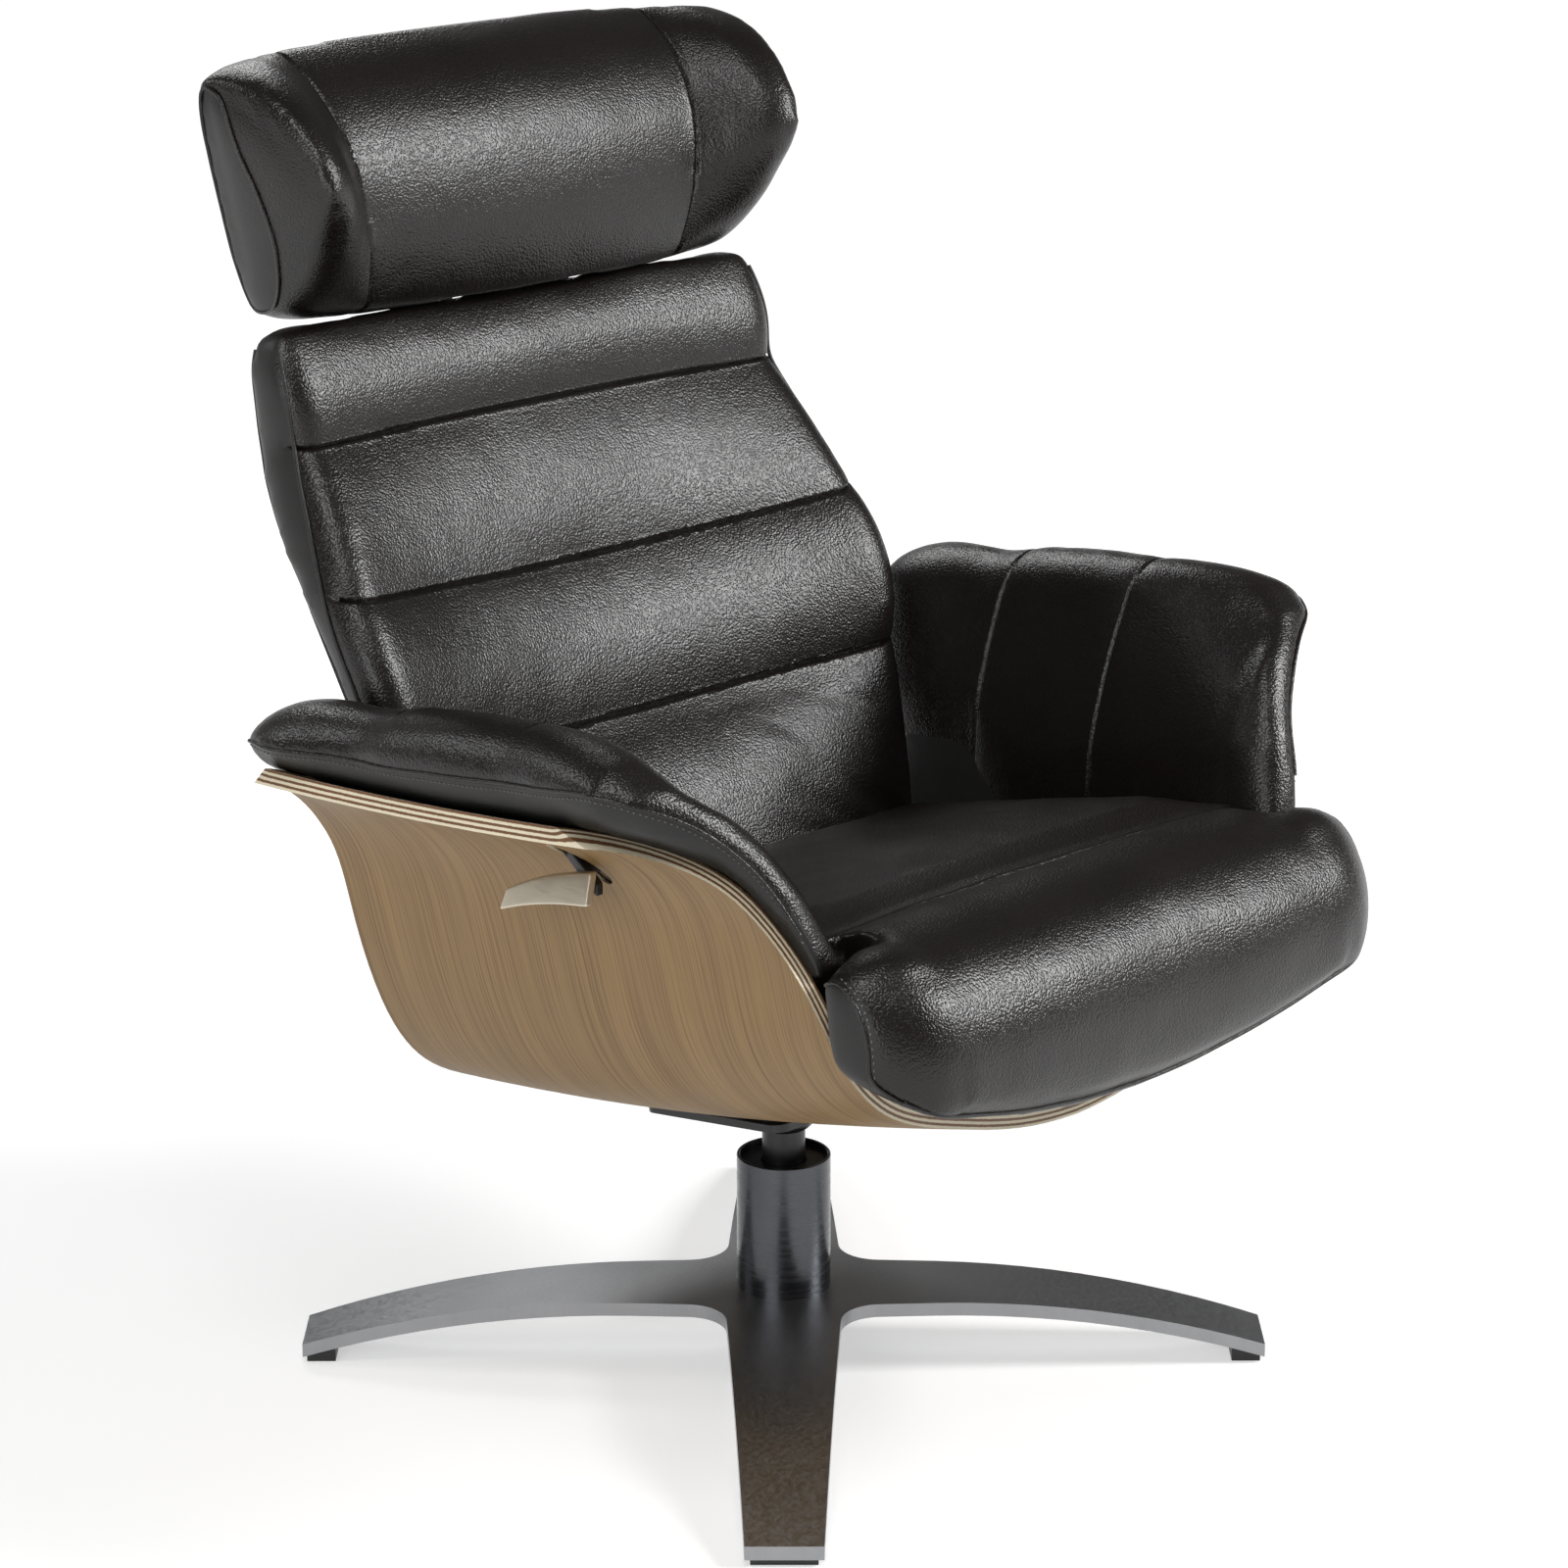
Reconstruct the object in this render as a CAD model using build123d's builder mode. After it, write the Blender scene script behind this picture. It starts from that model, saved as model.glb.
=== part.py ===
from build123d import *
import os
from math import cos, radians, sin

os.makedirs("parts", exist_ok=True)

# A swivel recliner: a four-armed star base with a column, a bent plywood shell that turns on it,
# and in the shell a sliding seat, a reclining back and a headrest that rises and tilts.
# Millimetres. The origin is on the floor in the swivel axis. The sitter faces -Y, +Z is up.
# "left" is the sitter's left, which is +X.

# ---------------------------------------------------------------- driving dimensions
running_gap = 0.3               # between parts that move against each other
fit_gap = 0.1                   # between parts that are pressed or screwed together

# Seat
seat_tilt_run = 78              # the seat meets the back at this Y ...
seat_tilt_height = 375          # ... and this height
seat_tilt = 12.9                # degrees, down to the rear
seat_half_width = 236
seat_depth = 70                 # thickness of the cushion behind the seam
seam_run = 338.5                # crease to the seam across the seat, along the seat
seat_rear_gap = 11
pan_thickness = 12
pan_half_width = 176
pan_corner = 40
pan_front = -318
pan_rear = -28
runner_width = 14
runner_height = 12
rail_x = 73
rail_width = 26
rail_wall = 2
rail_height = 14
rail_front = -285
rail_rear = -25
seat_travel = 40

# The shell, the back, the arms and the front of the seat are drawn around a seat of 472 mm whose
# crease is 375 mm up. Where the seat is wider or higher than that, they follow it.
across = seat_half_width / 236
raised = seat_tilt_height - 375


def placed(points):
    """Side-view points, at the seat's height."""
    return [(y, z + raised) for y, z in points]


# Star base
arm_reach = 370                 # swivel axis to the end of an arm
arm_tip_width = 56
arm_root_width = 94
arm_crotch_radius = 32
arm_flat_reach = 117            # level part of an arm, measured from the axis
base_top = 56                   # floor to the level top of the arms
arm_tip_top = 16
arm_thickness = 10.5
boss_radius = 36
boss_bottom = 22
glide_length = 22
glide_width = 48
glide_inset = 3                 # from the end of the arm
glide_screw_radius = 2
glide_screw_depth = 5           # into the arm

# Column
sleeve_radius = 36
sleeve_drop = 212               # below the crease of the seat
sleeve_wall = 2.5
cap_recess = 5
cap_thickness = 6
tube_radius = 25
tube_wall = 3
tube_floor = 6
bushing_length = 26
post_radius = 16.5
thrust_thickness = 4
bolt_radius = 5
bolt_head_height = 5
bolt_depth = 40                 # into the post
collar_radius = 24
collar_height = 12

# Plywood shell: half of its section, as (distance from the middle, share of the height in front,
# share of the height at the rear)
ply = 12
shell_profile = [(0, 0, 0), (60, .022, .01), (130, .09, .06), (200, .20, .175), (246, .40, .42),
                 (264, .62, .61), (283, .80, .80), (315, .925, .925), (362, 1, 1)]
shell_front = -297
shell_middle = -60
shell_rear = 188
floor_at = dict(placed([(shell_front, 276), (shell_middle, 224), (shell_rear, 191)]))
rim_at = dict(placed([(shell_front, 546), (shell_middle, 516), (shell_rear, 499)]))
front_edge = placed([(-96, 570), (-150, 534), (-190, 526), (-218, 514), (-234, 501), (-249, 480),
                     (-276, 438), (-294, 390), (-297, 330), (-297, 240)])
rear_corner = placed([(188, 430), (180, 486), (152, 530)])

# Under and over the shell's floor
plate_width = 112
plate_length = 150
plate_thickness = 6
plate_drop = 8                  # rubber spacers between the plate and the shell
spacer_radius = 12
plate_centre = 25               # along Y
plate_bolt_spacing_x = 76
plate_bolt_spacing_y = 104
plate_bolt_radius = 4
chassis_sheet = 4
chassis_width = 116
chassis_length = 130
chassis_lift = 5                # over the shell, whose floor rises to both sides

# Recline
pivot_y = 130
pivot_drop = 40                 # below the crease of the seat
pivot_pin_radius = 5
pivot_lug_radius = 16
spring_arm = 50                 # pivot to the rod's end
recline_angle = 22              # degrees, rearward
spring_front_y = -98
spring_drop = 0.5               # the rod runs level, halfway between the top and foot of its end's arc
spring_radius = 10
spring_wall = 2
spring_length = 120
spring_eye_radius = 9
spring_eye_play = 0.6
rod_radius = 4
rod_length = 165

# Back: height, half width, then Y of the front at the side, front in the middle,
# rear at the side and rear in the middle
back_drawing = {
    345: (230, 68, 60, 116, 126),
    415: (246, 98, 98, 142, 160),
    489: (264, 126, 148, 168, 198),
    545: (272, 144, 172, 198, 230),
    600: (270, 178, 204, 240, 262),
    656: (257, 216, 230, 286, 298),
    713: (248, 252, 260, 310, 320),
    750: (250, 263, 270, 313, 321),
    790: (244, 284, 292, 313, 319),
}
back_seams = (489 + raised, 600 + raised, 713 + raised)
panel_swell = 6                 # the panels stand proud of the seams by this much
edge_roll = 24
cover_thickness = 6
board_thickness = 10

# Headrest
head_gap = 10                   # over the top of the back
head_post_lean = 14             # degrees, rearward
head_post_x = 60
head_post_radius = 5
head_pin_height = 43            # over the top of the back, along the posts
head_post_depth = 135           # below the top of the back, along the posts

# Lever
lever_pivot_y = -76
lever_pivot_rise = 87           # over the crease of the seat
lever_reach = 48
lever_slot_width = 13
slot_start = 124                # degrees, from +Y over +Z
slot_sweep = 32                 # degrees
lever_angle = 146               # degrees, from +Y over +Z, of the stem at rest
lever_plate_inset = 26          # from the seat's side to the plate inside the shell
lever_plate = 3
lever_pin_radius = 3
lever_stem_radius = 4.5
lever_hub_radius = 9
paddle_inset = 76               # from the seat's side to the inner face of the paddle
paddle_thickness = 10
paddle_length = 84
paddle_height = 21
paddle_turn = 7                 # degrees
paddle_forward = 14             # centre of the paddle, from the lever's pivot
paddle_rise = 5


# ---------------------------------------------------------------- geometry that pieces share
sleeve_top = seat_tilt_height - sleeve_drop
pivot_z = seat_tilt_height - pivot_drop
lever_pivot_z = seat_tilt_height + lever_pivot_rise
lever_plate_x = seat_half_width + lever_plate_inset * across
paddle_x = seat_half_width + paddle_inset * across
back_stations = {z + raised: (row[0] * across, *row[1:]) for z, row in back_drawing.items()}


def parabola(points, y):
    """Height at y of the parabola through three (y, height) points."""
    (y0, h0), (y1, h1), (y2, h2) = points.items()
    slope = (h1 - h0) / (y1 - y0)
    bend = ((h2 - h1) / (y2 - y1) - slope) / (y2 - y0)
    return h0 + slope * (y - y0) + bend * (y - y0) * (y - y1)


def shell_section(y, depth):
    """Points of half the shell's section at y, moved inward from the outer face by depth."""
    low, high = parabola(floor_at, y), parabola(rim_at, y)
    rearward = (y - shell_front) / (shell_rear - shell_front)
    face = [Vector(x * across, low + (front + (rear - front) * rearward) * (high - low))
            for x, front, rear in shell_profile]
    ahead = face[1:] + [face[-1]]
    behind = [Vector(-face[1].X, face[1].Y)] + face[:-1]
    return [point + (b - a).normalized().rotate(Axis.Z, 90) * depth
            for point, a, b in zip(face, behind, ahead)]


def shell_layer(outer_depth, inner_depth, front_gap):
    """A layer of the shell between two depths from its outer face, its front edge moved forward."""
    with BuildPart() as layer:
        for y in (shell_front - 6, shell_middle, shell_rear):
            with BuildSketch(Plane.XZ.offset(-y)):
                with BuildLine():
                    outer = Spline(*shell_section(y, outer_depth))
                    inner = Spline(*shell_section(y, inner_depth))
                    Line(outer @ 0, inner @ 0)
                    Line(outer @ 1, inner @ 1)
                make_face()
        loft()
        mirror(about=Plane.YZ)
        with BuildSketch(Plane.YZ):
            with BuildLine():
                edge = Spline(*[(y - front_gap, z) for y, z in front_edge])
                beyond = shell_front - 5 * ply
                Polyline(edge @ 1, (beyond, front_edge[-1][1]), (beyond, front_edge[0][1]), edge @ 0)
            make_face()
            with BuildLine():
                corner_low, corner_middle, corner_high = rear_corner
                ThreePointArc(corner_low, corner_middle, corner_high)
                past = shell_rear + ply
                Polyline(corner_high, (past, corner_high[1]), (past, corner_low[1]), corner_low)
            make_face()
        extrude(amount=400, both=True, mode=Mode.SUBTRACT)
    return layer.part


floor_slope = (parabola(floor_at, plate_centre + 1) - parabola(floor_at, plate_centre - 1)) / 2
floor_plane = Plane(origin=(0, plate_centre, parabola(floor_at, plate_centre)), x_dir=(1, 0, 0),
                    z_dir=(0, -floor_slope, 1))
plate_plane = floor_plane.offset(-plate_drop - plate_thickness)
chassis_plane = floor_plane.offset(ply + chassis_lift)
seat_plane = Plane(origin=(0, seat_tilt_run, seat_tilt_height), x_dir=(1, 0, 0)).rotated((-seat_tilt, 0, 0))

# ---------------------------------------------------------------- star base
tip_rise = (arm_reach - arm_flat_reach) ** 2 / (base_top - arm_tip_top) / 2


def arm_top(r):
    """Height of an arm's top at the distance r from the axis."""
    return base_top - max(r - arm_flat_reach, 0) ** 2 / tip_rise / 2


screw_reach = arm_reach - glide_inset - glide_length / 2
screw_top = arm_top(screw_reach) - arm_thickness + glide_screw_depth

with BuildPart() as star_base:
    for turn in (45, 135):
        with BuildSketch(Plane.XZ.rotated((0, 0, turn))):
            with BuildLine():
                for side in (-1, 1):
                    middle = (arm_flat_reach + arm_reach) / 2
                    top = [(side * r, arm_top(r)) for r in (arm_flat_reach, middle, arm_reach)]
                    low = [(r, z - arm_thickness) for r, z in top]
                    ThreePointArc(*top)
                    ThreePointArc(*low)
                    Line(top[2], low[2])
                Line((-arm_flat_reach, base_top), (arm_flat_reach, base_top))
                Line((-arm_flat_reach, base_top - arm_thickness), (arm_flat_reach, base_top - arm_thickness))
            make_face()
        extrude(amount=arm_root_width, both=True)
    with BuildSketch() as outline:
        for turn in (45, 135):
            half_root, half_tip = arm_root_width / 2, arm_tip_width / 2
            with BuildLine(Plane.XY.rotated((0, 0, turn))):
                Polyline((0, half_root), (arm_reach, half_tip), (arm_reach, -half_tip), (0, -half_root),
                         (-arm_reach, -half_tip), (-arm_reach, half_tip), close=True)
            make_face()
        crotches = outline.vertices().group_by(lambda v: Vector(v).length)[0]
        fillet(crotches, radius=arm_crotch_radius)
    extrude(amount=base_top, mode=Mode.INTERSECT)
    with BuildSketch(Plane.XY.offset(boss_bottom)):
        Circle(boss_radius)
    extrude(amount=base_top - boss_bottom - 1)
    with BuildSketch(Plane.XY.offset(boss_bottom)):
        Circle(tube_radius + fit_gap)
    extrude(amount=base_top, mode=Mode.SUBTRACT)
    with PolarLocations(screw_reach, 4, start_angle=45):
        Cylinder(glide_screw_radius, screw_top, align=(Align.CENTER, Align.CENTER, Align.MIN),
                 mode=Mode.SUBTRACT)
star_base.part.label = "star_base"
export_step(star_base.part, "parts/star_base.step")

glide_outer = arm_reach - glide_inset
glide_inner = glide_outer - glide_length
for number, turn in enumerate((45, 135, 225, 315), start=1):
    with BuildPart() as glide:
        with BuildSketch(Plane.XZ.rotated((0, 0, turn))):
            with BuildLine():
                Polyline((glide_inner, 0), (glide_outer, 0),
                         (glide_outer, arm_top(glide_outer) - arm_thickness - fit_gap),
                         (glide_inner, arm_top(glide_inner) - arm_thickness - fit_gap), close=True)
            make_face()
        extrude(amount=glide_width / 2, both=True)
        fillet(glide.faces().sort_by(Axis.Z)[0].edges(), radius=1)
        with Locations(Plane.XY.rotated((0, 0, turn)) * Location((screw_reach, 0, 0))):
            Cylinder(glide_screw_radius + fit_gap, base_top, mode=Mode.SUBTRACT)
            Cylinder(2 * glide_screw_radius + fit_gap, 4, mode=Mode.SUBTRACT)
    glide.part.label = f"glide_{number}"
    export_step(glide.part, f"parts/glide_{number}.step")

with BuildPart() as glide_screws:
    with BuildSketch(Plane.XY.offset(0.6)):
        with PolarLocations(screw_reach, 4, start_angle=45):
            Circle(2 * glide_screw_radius)
    extrude(amount=1.2)
    with BuildSketch(Plane.XY.offset(0.6)):
        with PolarLocations(screw_reach, 4, start_angle=45):
            Circle(glide_screw_radius)
    extrude(amount=screw_top - 0.8)
glide_screws.part.label = "glide_screws"
export_step(glide_screws.part, "parts/glide_screws.step")

# ---------------------------------------------------------------- column
tube_top = sleeve_top - cap_recess - cap_thickness
tube_bottom = boss_bottom + 2

with BuildPart() as column_sleeve:
    with BuildSketch(Plane.XY.offset(base_top)):
        Circle(sleeve_radius)
        Circle(sleeve_radius - sleeve_wall, mode=Mode.SUBTRACT)
    extrude(amount=sleeve_top - base_top)
    chamfer(column_sleeve.edges().group_by(Axis.Z)[-1], length=0.6)
column_sleeve.part.label = "column_sleeve"
export_step(column_sleeve.part, "parts/column_sleeve.step")

with BuildPart() as column_tube:
    with BuildSketch(Plane.XY.offset(tube_bottom)):
        Circle(tube_radius)
    extrude(amount=tube_top - tube_bottom)
    with BuildSketch(Plane.XY.offset(tube_bottom + tube_floor)):
        Circle(tube_radius - tube_wall)
    extrude(amount=tube_top, mode=Mode.SUBTRACT)
    with Locations((0, 0, tube_top)):
        Hole(bolt_radius + running_gap)
column_tube.part.label = "column_tube"
export_step(column_tube.part, "parts/column_tube.step")

with BuildPart() as sleeve_cap:
    with BuildSketch(Plane.XY.offset(tube_top)):
        Circle(sleeve_radius - sleeve_wall - fit_gap)
        Circle(post_radius + running_gap, mode=Mode.SUBTRACT)
    extrude(amount=cap_thickness)
    fillet(sleeve_cap.edges().group_by(Axis.Z)[-1].sort_by(SortBy.RADIUS)[0], radius=1.5)
sleeve_cap.part.label = "sleeve_cap"
export_step(sleeve_cap.part, "parts/sleeve_cap.step")

bearing_floor = tube_bottom + tube_floor
bushing_floors = {
    "lower_bushing": bearing_floor + thrust_thickness + 6,
    "upper_bushing": tube_top - bushing_length,
}
for name, bottom in bushing_floors.items():
    with BuildPart() as bushing:
        with BuildSketch(Plane.XY.offset(bottom)):
            Circle(tube_radius - tube_wall - fit_gap)
            Circle(post_radius + running_gap, mode=Mode.SUBTRACT)
        extrude(amount=bushing_length)
    bushing.part.label = name
    export_step(bushing.part, f"parts/{name}.step")

with BuildPart() as thrust_washer:
    with BuildSketch(Plane.XY.offset(bearing_floor)):
        Circle(tube_radius - tube_wall - fit_gap)
        Circle(bolt_radius + running_gap, mode=Mode.SUBTRACT)
    extrude(amount=thrust_thickness)
thrust_washer.part.label = "thrust_washer"
export_step(thrust_washer.part, "parts/thrust_washer.step")

post_bottom = bearing_floor + thrust_thickness + running_gap
with BuildPart() as swivel_post:
    with BuildSketch(Plane.XY.offset(post_bottom)):
        Circle(post_radius)
    extrude(amount=parabola(floor_at, 0) - post_bottom)
    split(bisect_by=plate_plane, keep=Keep.BOTTOM)
    with BuildSketch(Plane.XY.offset(post_bottom)):
        Circle(bolt_radius)
    extrude(amount=bolt_depth, mode=Mode.SUBTRACT)
swivel_post.part.label = "swivel_post"
export_step(swivel_post.part, "parts/swivel_post.step")

bolt_seat = tube_bottom - running_gap
with BuildPart() as retaining_bolt:
    with BuildSketch(Plane.XY.offset(bolt_seat - 2)):
        Circle(bolt_radius * 2.4)
    extrude(amount=2)
    with BuildSketch(Plane.XY.offset(bolt_seat - 2 - bolt_head_height)):
        RegularPolygon(bolt_radius * 1.75, 6)
    extrude(amount=bolt_head_height)
    with BuildSketch(Plane.XY.offset(bolt_seat)):
        Circle(bolt_radius)
    extrude(amount=post_bottom + bolt_depth - bolt_seat)
retaining_bolt.part.label = "retaining_bolt"
export_step(retaining_bolt.part, "parts/retaining_bolt.step")

with BuildPart() as post_collar:
    collar_top = plate_plane.origin.Z + 6
    with BuildSketch(Plane.XZ):
        with BuildLine():
            start = (post_radius + fit_gap, collar_top - collar_height - 6)
            Polyline((collar_radius, collar_top), (post_radius + fit_gap, collar_top), start)
            TangentArc(start, (collar_radius, collar_top), tangent=(1, 0.4))
        make_face()
    revolve(axis=Axis.Z)
    split(bisect_by=plate_plane, keep=Keep.BOTTOM)
post_collar.part.label = "post_collar"
export_step(post_collar.part, "parts/post_collar.step")

# ---------------------------------------------------------------- plywood shell and what carries it
with BuildPart() as mounting_plate:
    with BuildSketch(plate_plane):
        RectangleRounded(plate_width, plate_length, 12)
    extrude(amount=plate_thickness)
    with Locations(plate_plane.offset(plate_thickness)):
        with GridLocations(plate_bolt_spacing_x, plate_bolt_spacing_y, 2, 2):
            Hole(plate_bolt_radius + fit_gap)
mounting_plate.part.label = "mounting_plate"
export_step(mounting_plate.part, "parts/mounting_plate.step")

shell_wall = shell_layer(0, ply, front_gap=0)
with BuildPart() as shell:
    add(shell_wall)
    with Locations(floor_plane.offset(40)):
        with GridLocations(plate_bolt_spacing_x, plate_bolt_spacing_y, 2, 2):
            Hole(plate_bolt_radius + fit_gap, depth=80)
    with BuildSketch(Plane.YZ.offset(-lever_plate_x)):
        with BuildLine():
            track = CenterArc((lever_pivot_y, lever_pivot_z), lever_reach, slot_start, slot_sweep)
        SlotArc(track.edge(), lever_slot_width)
    extrude(amount=-lever_plate_x / 3, mode=Mode.SUBTRACT)
shell.part.label = "shell"
export_step(shell.part, "parts/shell.step")

shell_keepout = shell_layer(-6, ply + running_gap, front_gap=running_gap)

with BuildPart() as plate_bolts:
    for x in (-plate_bolt_spacing_x / 2, plate_bolt_spacing_x / 2):
        for y in (-plate_bolt_spacing_y / 2, plate_bolt_spacing_y / 2):
            with BuildSketch(plate_plane.offset(-fit_gap)):
                with Locations((x, y)):
                    RegularPolygon(plate_bolt_radius * 1.8, 6)
            extrude(amount=-plate_bolt_radius)
            with BuildSketch(plate_plane.offset(-fit_gap)):
                with Locations((x, y)):
                    Circle(plate_bolt_radius)
            extrude(amount=plate_thickness + plate_drop + ply + chassis_lift + chassis_sheet + 8)
plate_bolts.part.label = "plate_bolts"
export_step(plate_bolts.part, "parts/plate_bolts.step")

with BuildPart() as chassis_nuts:
    with BuildSketch(chassis_plane.offset(chassis_sheet + fit_gap)):
        with GridLocations(plate_bolt_spacing_x, plate_bolt_spacing_y, 2, 2):
            RegularPolygon(plate_bolt_radius * 1.8, 6)
            Circle(plate_bolt_radius + fit_gap, mode=Mode.SUBTRACT)
    extrude(amount=6)
chassis_nuts.part.label = "chassis_nuts"
export_step(chassis_nuts.part, "parts/chassis_nuts.step")


def on_seat(x, run, height):
    """Point in the seat's own frame: run is measured rearward along the seat from the crease."""
    return seat_plane.from_local_coords(Vector(x, run, height))


def seat_profile(points):
    """Side-view points given as (run, height) on the seat, as (Y, Z)."""
    return [(on_seat(0, run, height).Y, on_seat(0, run, height).Z) for run, height in points]


# Heights over the seat's surface of the layers under the cushion, from the top down
pan_top = -seat_depth - running_gap
runner_top = pan_top - pan_thickness
rail_bottom = runner_top - runner_height - rail_wall - running_gap
cheek_outer = chassis_width / 2
cheek_inner = cheek_outer - chassis_sheet
base_front, base_rear = -chassis_length / 2, chassis_length / 2
half_swing = radians(recline_angle / 2)
rod_end = (pivot_y + spring_arm * sin(half_swing), pivot_z - spring_arm * cos(half_swing))
spring_front_z = rod_end[1] - spring_drop


def on_chassis(y, height):
    """Side-view point (Y, Z) of the chassis plane."""
    point = chassis_plane.from_local_coords(Vector(0, y, height))
    return point.Y, point.Z


with BuildPart() as chassis:
    with BuildSketch(chassis_plane):
        Rectangle(chassis_width, chassis_length)
    extrude(amount=chassis_sheet)
    for side in (-1, 1):
        with BuildSketch(Plane.YZ.offset(side * cheek_inner)):
            with BuildLine():
                Polyline(on_chassis(base_front, 0), on_chassis(base_rear, 0), (pivot_y - 38, pivot_z - 40),
                         (pivot_y, pivot_z - pivot_lug_radius), (pivot_y + pivot_lug_radius, pivot_z),
                         *seat_profile([(rail_rear, rail_bottom + rail_height),
                                        (rail_front, rail_bottom + rail_height),
                                        (rail_front, rail_bottom - 8)]),
                         (spring_front_y - 18, spring_front_z - 16), close=True)
            make_face()
            with Locations((pivot_y, pivot_z)):
                Circle(pivot_lug_radius)
        extrude(amount=side * chassis_sheet)
    with BuildSketch(Plane.YZ):
        with Locations((pivot_y, pivot_z), (spring_front_y, spring_front_z)):
            Circle(pivot_pin_radius + fit_gap)
    extrude(amount=cheek_outer + 1, both=True, mode=Mode.SUBTRACT)
    with Locations(chassis_plane.offset(chassis_sheet)):
        with GridLocations(plate_bolt_spacing_x, plate_bolt_spacing_y, 2, 2):
            Hole(plate_bolt_radius + fit_gap, depth=2 * chassis_sheet)
chassis.part.label = "chassis"
export_step(chassis.part, "parts/chassis.step")

# ---------------------------------------------------------------- seat slide
for name, side in (("left", 1), ("right", -1)):
    centre = Plane(origin=on_seat(side * rail_x, 0, 0), x_dir=seat_plane.x_dir, z_dir=seat_plane.z_dir)
    with BuildPart() as seat_rail:
        with BuildSketch(centre.offset(rail_bottom)):
            with Locations((0, (rail_front + rail_rear) / 2)):
                Rectangle(rail_width, rail_rear - rail_front)
        extrude(amount=rail_height)
        with BuildSketch(centre.offset(rail_bottom + rail_wall)):
            with Locations((0, (rail_front + rail_rear) / 2)):
                Rectangle(rail_width - 2 * rail_wall, rail_rear - rail_front)
        extrude(amount=rail_height, mode=Mode.SUBTRACT)
    seat_rail.part.label = f"{name}_seat_rail"
    export_step(seat_rail.part, f"parts/{name}_seat_rail.step")
    with BuildPart() as runner:
        runner_front, runner_rear = rail_front + seat_travel + 4, rail_rear - 4
        with BuildSketch(centre.offset(runner_top)):
            with Locations((0, (runner_front + runner_rear) / 2)):
                Rectangle(runner_width, runner_rear - runner_front)
        extrude(amount=-runner_height)
        with BuildSketch(centre.offset(runner_top - runner_height)):
            for end in (runner_front + 20, runner_rear - 20):
                with Locations((0, end)):
                    RectangleRounded(rail_width - 2 * rail_wall - 2 * running_gap, 30, 3)
        extrude(amount=8)
    runner.part.label = f"{name}_seat_runner"
    export_step(runner.part, f"parts/{name}_seat_runner.step")

with BuildPart() as rail_screws:
    for side in (-1, 1):
        for run in (rail_front + 25, rail_rear - 45):
            spot = on_seat(side * (cheek_inner - fit_gap), run, rail_bottom + rail_height / 2)
            with BuildSketch(Plane(origin=spot, x_dir=(0, 1, 0), z_dir=(-side, 0, 0))):
                Circle(4)
            extrude(amount=3)
rail_screws.part.label = "rail_screws"
export_step(rail_screws.part, "parts/rail_screws.step")

with BuildPart() as seat_pan:
    with BuildSketch(seat_plane.offset(runner_top)):
        with Locations((0, (pan_front + pan_rear) / 2)):
            RectangleRounded(2 * pan_half_width, pan_rear - pan_front, pan_corner)
    extrude(amount=pan_thickness)
    fillet(seat_pan.edges().filter_by(GeomType.CIRCLE), radius=2)
seat_pan.part.label = "seat_pan"
export_step(seat_pan.part, "parts/seat_pan.step")

# ---------------------------------------------------------------- seat cushion
# Side view of the front roll, middle and sides: top of the roll, its front, the welt below, and
# the underside where it meets the plywood. Distance from the middle comes first.
pad_lift = 1.2                  # the arm pads stand this high over the edge of the seat
roll_drawing = [
    (0, (-302, 460), (-346, 441), (-377, 392), (-368, 330), (-347, 309), (-283, 303)),
    (100, (-302, 460), (-346, 442), (-377, 394), (-370, 336), (-352, 319), (-284, 317)),
    (200, (-302, 459), (-345, 443), (-376, 398), (-377, 362), (-366, 346), (-292, 359)),
]
wing_drawing = [
    (199, (-290, 449), (-316, 457), (-345, 443), (-375, 400), (-366, 346), (-302, 354)),
    (238, (-290, 449), (-312, 457), (-338, 443), (-366, 400), (-364, 358), (-302, 368)),
    (265, (-294, 441), (-308, 446), (-324, 438), (-341, 405), (-340, 376), (-303, 384)),
]
roll_sections = [(x * across, *placed(points)) for x, *points in roll_drawing]
wing_sections = [(x * across, *placed(points)) for x, *points in wing_drawing]
# Distance along the seat from the crease, crown in the middle, half width
seat_sections = [(0, 2, seat_half_width - 6), (-170, 9, seat_half_width - 1), (-seam_run, 3, seat_half_width)]
(low_z, low_row), (next_z, next_row) = list(back_stations.items())[:2]
back_front_lean = (next_row[2] - low_row[2]) / (next_z - low_z)

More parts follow.
